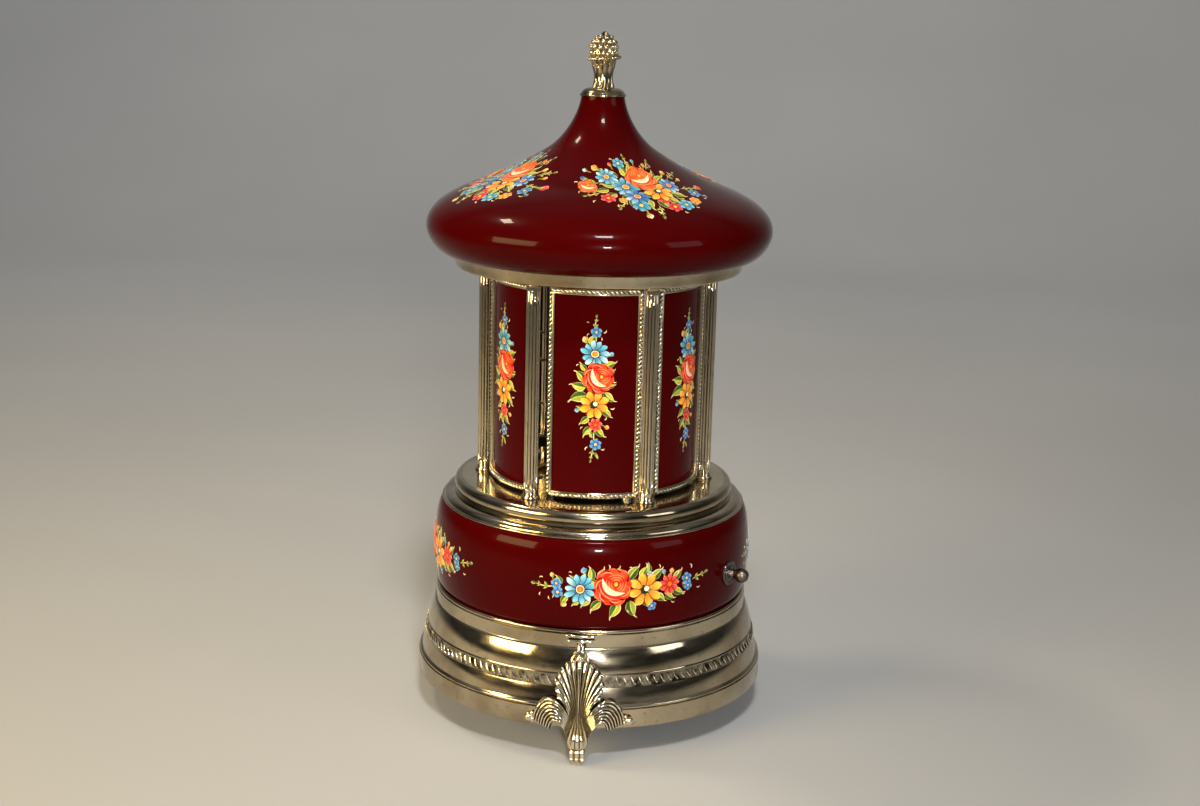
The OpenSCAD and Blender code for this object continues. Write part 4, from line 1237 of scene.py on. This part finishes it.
def drum_spray():
    """The long bouquet of the drum."""
    p = Spray(5)
    each(p.sprig, ((-33.5, 0.6, 7.6, 172), (33.5, 1.2, 8.0, 12)))
    p.line((-30, 0.4), (-33, 1.2), (-36, 0.8), 0.5, STALK)
    each(p.leaf, (
        (-29, 2, 4.2, 120, 0.8), (-29.6, -0.6, 4, 226, 0.7), (-26, -3, 4.6, 236, 0.9),
        (-15.4, 4.8, 5.2, 98, 0.7), (-12.6, 5.7, 4.8, 58, 0.9), (-4, 6.4, 4, 70, 0.7),
        (1.4, 5, 6.6, 48, 0.25), (7, 5.3, 5, 58, 0.9), (12.6, 4.1, 5.9, 40, 0.5),
        (-16.4, -3.1, 5.2, 232, 0.8), (-11, -5.3, 5.9, 226, 0.5), (-3.4, -5.7, 7.4, 244, 0.95),
        (2.2, -5.2, 7.2, -72, 0.4), (7.8, -5.3, 3.7, -52, 0.7), (14, -3.3, 5.5, -36, 0.7),
        (19.4, -3.4, 4.8, -30, 0.8), (23.6, 2.4, 5.4, 46, 0.6), (23.4, -1.6, 5.4, -26, 0.6),
        (28, 0.4, 3.8, -36, 0.8), (-22.6, 3.6, 3.3, 130, 0.8), (-20.6, -5.5, 3.5, 210, 0.8),
        (10.4, 7.2, 3.9, 84, 0.8), (-13.4, 2.9, 3.7, 150, 0.9),
    ))
    each(p.floret, (
        (-31.2, 2.4, 2.5, BLUE, CORNFLOWER), (-30.6, -1.6, 2.6, BLUE, MID_BLUE, 5, 40),
        (30.4, 2.4, 2.7, BLUE, mix(BLUE, SKY, 0.4)), (31.2, -1.2, 2.3, BLUE, MID_BLUE, 5, 50),
    ))
    each(p.bud, (
        (-18.6, 8.0, 2.3, 104, BLUE, CORNFLOWER), (-33.0, 5.6, 1.6, 110, ORANGE, YELLOW),
        (-27.4, -6.2, 2.1, 250, ORANGE, YELLOW), (22.2, 6.2, 1.9, 80, ORANGE, GOLD),
        (18.4, 6.4, 1.6, 100, BLUE, SKY),
    ))
    each(p.floret, (
        (12.6, -8.4, 2.3, BLUE, mix(BLUE, SKY, 0.35)), (11.4, 6.6, 1.5, TEAL, PALE_BLUE),
        (21.2, 1.0, 5.0, DEEP_RED, mix(RED, CORAL, 0.45), 9, 5, ORANGE),
    ))
    p.daisy(-20.4, 0.4, 7.5, 11, TEAL, SKY, CORAL, 12)
    p.marigold(9.2, -0.4, 8.1, 12)
    p.rose(-5.8, 1.6, 9.4, lean=10)
    each(p.curl, (
        (-37.4, 4.6, 1.6, 150), (-38.4, -2.4, 1.5, 220), (-34.6, -3.8, 1.6, 250), (-7.6, 9.8, 1.8, 60),
        (3.2, 9.6, 1.6, 120), (9.6, 10.0, 1.8, 60), (25.6, 4.8, 1.8, 70), (33.0, 6.6, 2.0, 70),
        (36.4, -2.8, 1.8, -40), (22.4, -7.2, 1.8, -60), (1.4, -9.4, 1.4, -100), (-24.2, 7.6, 1.5, 130),
        (16.2, 9.0, 1.6, 70), (-14.8, -8.6, 1.6, 210), (27.8, -4.6, 1.6, -30),
    ))
    return p


def roof_spray():
    """The round cluster of the roof: v grows towards the finial."""
    p = Spray(7)
    for i in range(18):
        angle = 20 * i + 8
        reach, length, light = p.draw.uniform(8, 12), p.draw.uniform(5, 7), p.draw.uniform(0.2, 0.9)
        p.leaf(reach * 1.25 * cosd(angle), reach * 0.8 * sind(angle), length, angle, light)
    each(p.sprig, (
        (-17, 3, 7, 178), (-18, -4, 6, 200), (17, 5, 7, 20), (19, -2, 7, -8), (-9, -9, 6, 235),
        (2, -13, 6, -95), (12, -8, 7, -45), (0, 13, 6, 95), (9, 11, 6, 50),
    ))
    each(p.floret, (
        (-15.5, -7.6, 3.0, DEEP_RED, RED), (6.0, -9.0, 2.8, DEEP_RED, RED), (8.2, -14.0, 2.9, DEEP_RED, RED),
        (19.4, -11.0, 2.5, ORANGE, GOLD), (-10.2, -9.0, 1.7, ORANGE, GOLD), (13.6, -13.2, 3.2, TEAL, SKY),
        (23.4, -6.0, 2.8, BLUE, SOFT_TEAL), (-5.0, 15.0, 3.2, TEAL, LIGHT_TEAL),
        (-4.6, -12.6, 3.6, TEAL, LIGHT_TEAL),
    ), 6)
    each(p.bud, (
        (-17.0, 11.6, 2.8, 150, ORANGE, GOLD), (-9.6, 13.8, 1.7, 110, DEEP_RED, RED),
        (-23.0, 5.4, 2.2, 170, NAVY, BLUE), (-22.4, 10.4, 1.8, 160, BLUE, PALE_BLUE),
        (-3.6, -18.0, 2.1, -80, CORAL, CREAM), (8.6, 13.0, 1.8, 60, ORANGE, CORAL),
        (16.4, 8.0, 2.1, 40, ORANGE, YELLOW), (28.0, -3.0, 3.0, 5, DEEP_RED, RED),
        (22.4, 3.4, 1.7, 20, ORANGE, GOLD), (3.6, 15.6, 1.6, 80, BLUE, SOFT_TEAL),
        (26.6, -8.6, 1.5, -30, NAVY, BLUE), (-19.4, -2.6, 1.5, 195, ORANGE, CORAL),
    ))
    p.daisy(-13.2, 6.8, 5.0, 10, TEAL, MID_TEAL, ORANGE, 5)
    p.daisy(14.2, 0.6, 4.8, 9, BLUE, TEAL, CORAL, 20)
    p.daisy(-4.0, -6.6, 5.2, 9, BLUE, TEAL, CORAL, 35)
    p.daisy(-6.4, 0.4, 5.8, 10, TEAL, MID_TEAL, ORANGE, 15)
    p.rose(-22.4, 0.0, 4.4, 30, 0.8)
    p.marigold(6.2, -3.4, 6.4, 5)
    p.rose(2.6, 5.6, 7.6, 60, 0.7)
    each(p.curl, (
        (-26.4, 3.0, 1.6, 160), (-25.6, -3.0, 1.6, 210), (-14, 10.8, 1.6, 120), (20, 7, 1.8, 30),
        (25, -10, 1.6, -30), (-12.6, -12, 1.6, 230), (0.4, -16.4, 1.6, -60), (10.8, -16.8, 1.5, -80),
        (-7.8, 17.0, 1.6, 130), (12.4, 12.0, 1.6, 60), (-20.6, -9.6, 1.6, 200), (17, -14.8, 1.5, -50),
    ))
    return p


def on_door(k):
    centre_az = (k - 1) * BAY_ANGLE + 2.3
    return lambda u, v, h: polar(PANEL_R + h, centre_az + math.degrees(u / PANEL_R), DOOR_SPRAY_Z + v)


def on_drum(az):
    def place(u, v, h):
        z = DRUM_SPRAY_Z + v
        return polar(drum_radius(z) + h, az + math.degrees(u / DRUM_R), z)

    return place


DOOR_SPRAY_Z = 163.4
DRUM_SPRAY_Z = 77.9
DRUM_SPRAY_AZ = 14.6
ROOF_SPRAYS_AZ = (24, 130, 214, 298)


def dome_walk():
    """The dome's outline as (length along it from the rim, radius, height)."""
    rows = []
    walked = 0.0
    outline = dome_outline()
    for i, (r, z) in enumerate(outline):
        if i:
            walked += math.dist(outline[i - 1], (r, z))
        rows.append((walked, (r, z)))
    return rows


def on_roof(az):
    rows = dome_walk()
    middle = next(s for s, (r, z) in rows if r < 48.4 and z > 240)

    def place(u, v, h):
        s = middle + 1.28 * v
        r, z = lookup(rows, s)
        r0, z0 = lookup(rows, s - 0.5)
        r1, z1 = lookup(rows, s + 0.5)
        length = math.dist((r0, z0), (r1, z1))
        nr, nz = (z1 - z0) / length, -(r1 - r0) / length
        return polar(r + nr * h, az + math.degrees(1.1 * u / mix(r, 52, 0.5)), z + nz * h)

    return place


def sprays():
    p = door_spray()
    for k in range(1, BAYS + 1):
        p.lay(f"door_flowers_{k}", on_door(k), f"door_{k}")
    p = drum_spray()
    for i in range(4):
        p.lay(f"drum_flowers_{i + 1}", on_drum(DRUM_SPRAY_AZ + 90 * i), "case")
    p = roof_spray()
    for i, az in enumerate(ROOF_SPRAYS_AZ):
        p.lay(f"roof_flowers_{i + 1}", on_roof(az), "case")


# ---- finial ----

def finial_cap():
    outline = tidy([(2.3, CAP_Z), (10.6, CAP_Z)] + arc(10.15, 291.35, 0.55, -60, 50, 6)
                   + bezier((10.1, 292.0), (9.2, 293.8), (7.6, 294.5), (5.2, 294.6)) + [(2.3, 294.6)])
    turned("cap_washer", outline, CAP_METAL, "finial_cap", 96)


def finial():
    """A sheaf: a waisted bundle of stalks, a tilted rope band and a head of ripe berries."""
    solid = Solid()
    core = [(FINIAL_HOLE_R, 294.5), (4.4, 294.5), (4.2, 300), (4.6, 306), (6.0, 308.5), (5.6, 312),
            (4.6, 315.6), (2.4, 318), (0.4, 318.6), (0.4, 302.4), (FINIAL_HOLE_R, 302.4)]
    solid.lathe(core, 32)
    stalks = 11
    for i in range(stalks):
        az = 360 * i / stalks
        path = []
        radii = []
        for k in range(9):
            t = k / 8
            waist = 4.25 - 0.95 * math.sin(math.pi * min(1, t * 1.25)) ** 1.2 + 1.5 * max(0, t - 0.6)
            path.append(polar(waist, az + 14 * t + 3 * math.sin(7 * i), mix(294.6, 307.4, t)))
            radii.append(mix(1.25, 1.35, t) * (0.92 + 0.12 * math.sin(3 * i + 5 * t)))
        solid.tube(path, radii, lambda k: Vector((path[k].x, path[k].y, 0)), 10, 0.85)
    for az, z, size in (
        (-34, 297.0, 0.95), (-40, 302.4, 0.62), (-28, 303.9, 0.8), (-33, 305.2, 0.75), (-8, 305.3, 0.85),
        (-12, 303.6, 0.5), (38, 305.6, 0.8), (-60, 304.6, 0.6), (150, 303.5, 0.7), (140, 305.2, 0.7),
        (210, 304.8, 0.7),
    ):
        solid.ball(polar(5.0, az, z), (size, size, size), axes_at(az))

    def band_point(r, az):
        return polar(r, az, 308.0 + 0.55 * sind(az - 30))

    for az in around(30):
        solid.ball(band_point(7.1, az), (0.85, 0.92, 0.8), axes_at(az), 6, 10)
    band = [band_point(6.7, az) for az in around(48)]
    solid.tube(band, [0.75] * len(band), UP, 10, closed=True)
    rows = ((310.1, 5.5, 17, (1.25, 0.95, 1.75)), (312.8, 5.45, 12, (1.5, 1.35, 1.5)),
            (315.1, 4.75, 11, (1.45, 1.3, 1.35)), (317.0, 3.1, 7, (1.35, 1.3, 1.2)))
    for n, (z, r, count, radii) in enumerate(rows):
        for i in range(count):
            az = 360 * (i + 0.5 * (n % 2)) / count
            solid.ball(polar(r, az, z + 0.25 * math.sin(5 * i + n)), radii, axes_at(az), 8, 12)
    solid.ball(Vector((0.3, 0, TOTAL_H - 1.55)), (1.7, 1.7, 1.55), None, 8, 14)
    solid.piece("finial_sheaf", FINIAL_CAST, "case", ["finial"], 60)


# ---- knob ----

def knob():
    """The flanged bush in the drum, and the ball knob on its stem."""
    along = turn(KNOB_AZ) @ Matrix.Translation((0, 0, ROD_Z)) @ Matrix.Rotation(math.radians(90), 4, "X")
    bore = 2.05
    bush = [(bore, 64), (4, 64), (4, 70.6), (5.2, 70.6), (5.2, 72.6), (4, 72.6), (4, 75.6), (5.7, 75.7),
            (5.85, 76.1)]
    bush += arc(5.3, 76.5, 0.5, 0, 75, 5)
    bush += [(4.6, 77.0), (4.3, 76.8), (3.9, 76.8), (3.5, 77.3), (2.7, 77.4), (bore, 77.3)]
    solid = Solid()
    solid.lathe(bush, 64, along)
    solid.piece("knob_rosette", KNOB_METAL, "case", ["knob_bush"])
    ball = arc(0, 82.9, 3.4, 90, -38, 18)
    stem = [(2.75, 80.75), (2.25, 80.2), (2.15, 79.4), (2.35, 78.75), (2.6, 78.5), (2.0, 78.5), (2.0, 82.4),
            (0.05, 82.4)]
    solid = Solid()
    solid.lathe([(max(r, 0.05), z) for r, z in ball] + stem, 48, along)
    solid.piece("knob_ball", KNOB_METAL, "pull", ["pull_knob"])


# ---- CAD nodes that stay, with their finishes ----

def finish_nodes():
    finishes = {
        STEEL: ["tie_rod", "pull_rod", "column_screws", "chassis_screws", "comb", "governor_fan"]
               + [f"door_pivot_{k}" for k in range(1, BAYS + 1)],
        BRASS: ["centre_bush", "drive_plate", "bedplate", "spring_barrel", "melody_cylinder",
                "governor_bracket", "governor_arbor", "winding_key"],
        GILT_SHEET: [f"door_rack_{k}" for k in range(1, BAYS + 1)],
        MIRROR: ["centre_post"],
        DECK_METAL: ["deck_plate", "top_plate"],
        BOARD: ["bottom_board"],
    }
    for material, names in finishes.items():
        for name in names:
            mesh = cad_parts[name].data
            if not mesh.materials:
                mesh.materials.append(material)
            for i in range(len(mesh.materials)):
                mesh.materials[i] = material


# ---- studio ----

# name, place, aim, size, watts, colour, spread in degrees
LIGHTS = (
    ("ceiling_light", (0.09, -0.80, 1.22), (0, 0, 0.14), (0.20, 0.13), 1.75, (1.0, 0.97, 0.93), 70),
    ("left_lamp", (-0.68, 0.17, 1.22), (0, 0, 0.14), (0.20, 0.10), 5.0, (1.0, 0.84, 0.60), 180),
    ("camera_light", (0.17, -1.25, 0.43), (0, 0, 0.1), (0.11, 0.09), 0.95, (1.0, 0.98, 0.95), 50),
    ("gold_card", (-0.72, -0.56, 0.36), (0, 0, 0.06), (0.50, 0.30), 3.6, (1.0, 0.76, 0.36), 120),
    ("right_card", (1.0, -0.6, 0.55), (0, 0, 0.16), (0.5, 0.4), 2, (0.94, 0.97, 1.0), 180),
    ("wall_light", (0, 0.55, 1.9), (0, 2.2, 1.45), (3.0, 0.5), 32, (1.0, 1.0, 1.0), 180),
)


def soft_light(name, place, aim, size, power, colour, spread):
    light = bpy.data.lights.new(name, "AREA")
    light.shape = "RECTANGLE"
    light.size, light.size_y = size
    light.energy = power
    light.color = colour
    light.spread = math.radians(spread)
    obj = bpy.data.objects.new(name, light)
    obj.location = place
    obj.rotation_euler = (Vector(aim) - Vector(place)).to_track_quat("-Z", "Y").to_euler()
    bpy.context.scene.collection.objects.link(obj)


def sweep():
    """A pale floor that curves up into a plain wall, in metres."""
    mesh = bpy.data.meshes.new("studio_sweep")
    half, front, back, curve, top = 5.0, -3.5, 2.2, 0.9, 3.2
    line = [(front, 0.0), (0.0, 0.0)]
    line += [(back - curve + curve * math.sin(a), curve - curve * math.cos(a))
             for a in (math.pi / 2 * k / 24 for k in range(25))]
    line += [(back, top)]
    verts = [(x, y, z) for y, z in line for x in (-half, half)]
    mesh.from_pydata(verts, [], [(2 * i, 2 * i + 1, 2 * i + 3, 2 * i + 2) for i in range(len(line) - 1)])
    mesh.shade_smooth()
    m, look = new_look("pale_floor")
    look.surface({
        "Base Color": look.ramp(look.noise(3, 2), (0.3, (0.37, 0.37, 0.365)), (0.7, (0.395, 0.395, 0.39))),
        "Roughness": 0.85,
    })
    mesh.materials.append(m)
    obj = bpy.data.objects.new("studio_sweep", mesh)
    bpy.context.scene.collection.objects.link(obj)


def studio():
    """The sweep, a dim surround that is lighter overhead, and the lights."""
    sweep()
    world = bpy.data.worlds.new("studio")
    bpy.context.scene.world = world
    look = Look(world, "Background")
    generated = look.node("TexCoord", "Generated", {})
    height = look.node("SeparateXYZ", "Z", {"Vector": generated})
    sky = look.ramp(height, (0.0, (0.035, 0.035, 0.035)), (0.35, (0.05, 0.05, 0.05)),
                    (0.8, (0.26, 0.26, 0.27)))
    look.surface({"Color": sky, "Strength": 0.8})
    for light in LIGHTS:
        soft_light(*light)
    bpy.context.scene.view_settings.view_transform = "Standard"


def camera():
    """The viewing angle: a little above, just right of the front."""
    azimuth, distance, height = 2.65, 0.8305, 0.3433
    pitch_down, roll, look_az = 13.38, 1.51, 2.49
    data = bpy.data.cameras.new("view_camera")
    data.lens = 53.54
    data.sensor_width = 36
    cam = bpy.data.objects.new("view_camera", data)
    place = polar(distance, azimuth, 0)
    cam.matrix_world = (Matrix.Translation((place.x, place.y, height)) @ turn(look_az)
                        @ Matrix.Rotation(math.radians(90 - pitch_down), 4, "X") @ turn(roll))
    bpy.context.scene.collection.objects.link(cam)
    bpy.context.scene.camera = cam


studio()
camera()
base_moulding()
base_strokes()
base_beads()
feet()
drum()
gallery()
cornice()
dome()
columns()
for door in range(1, BAYS + 1):
    door_sheet(door)
    door_frame(door)
    door_rope(door)
sprays()
finial_cap()
finial()
knob()
finish_nodes()
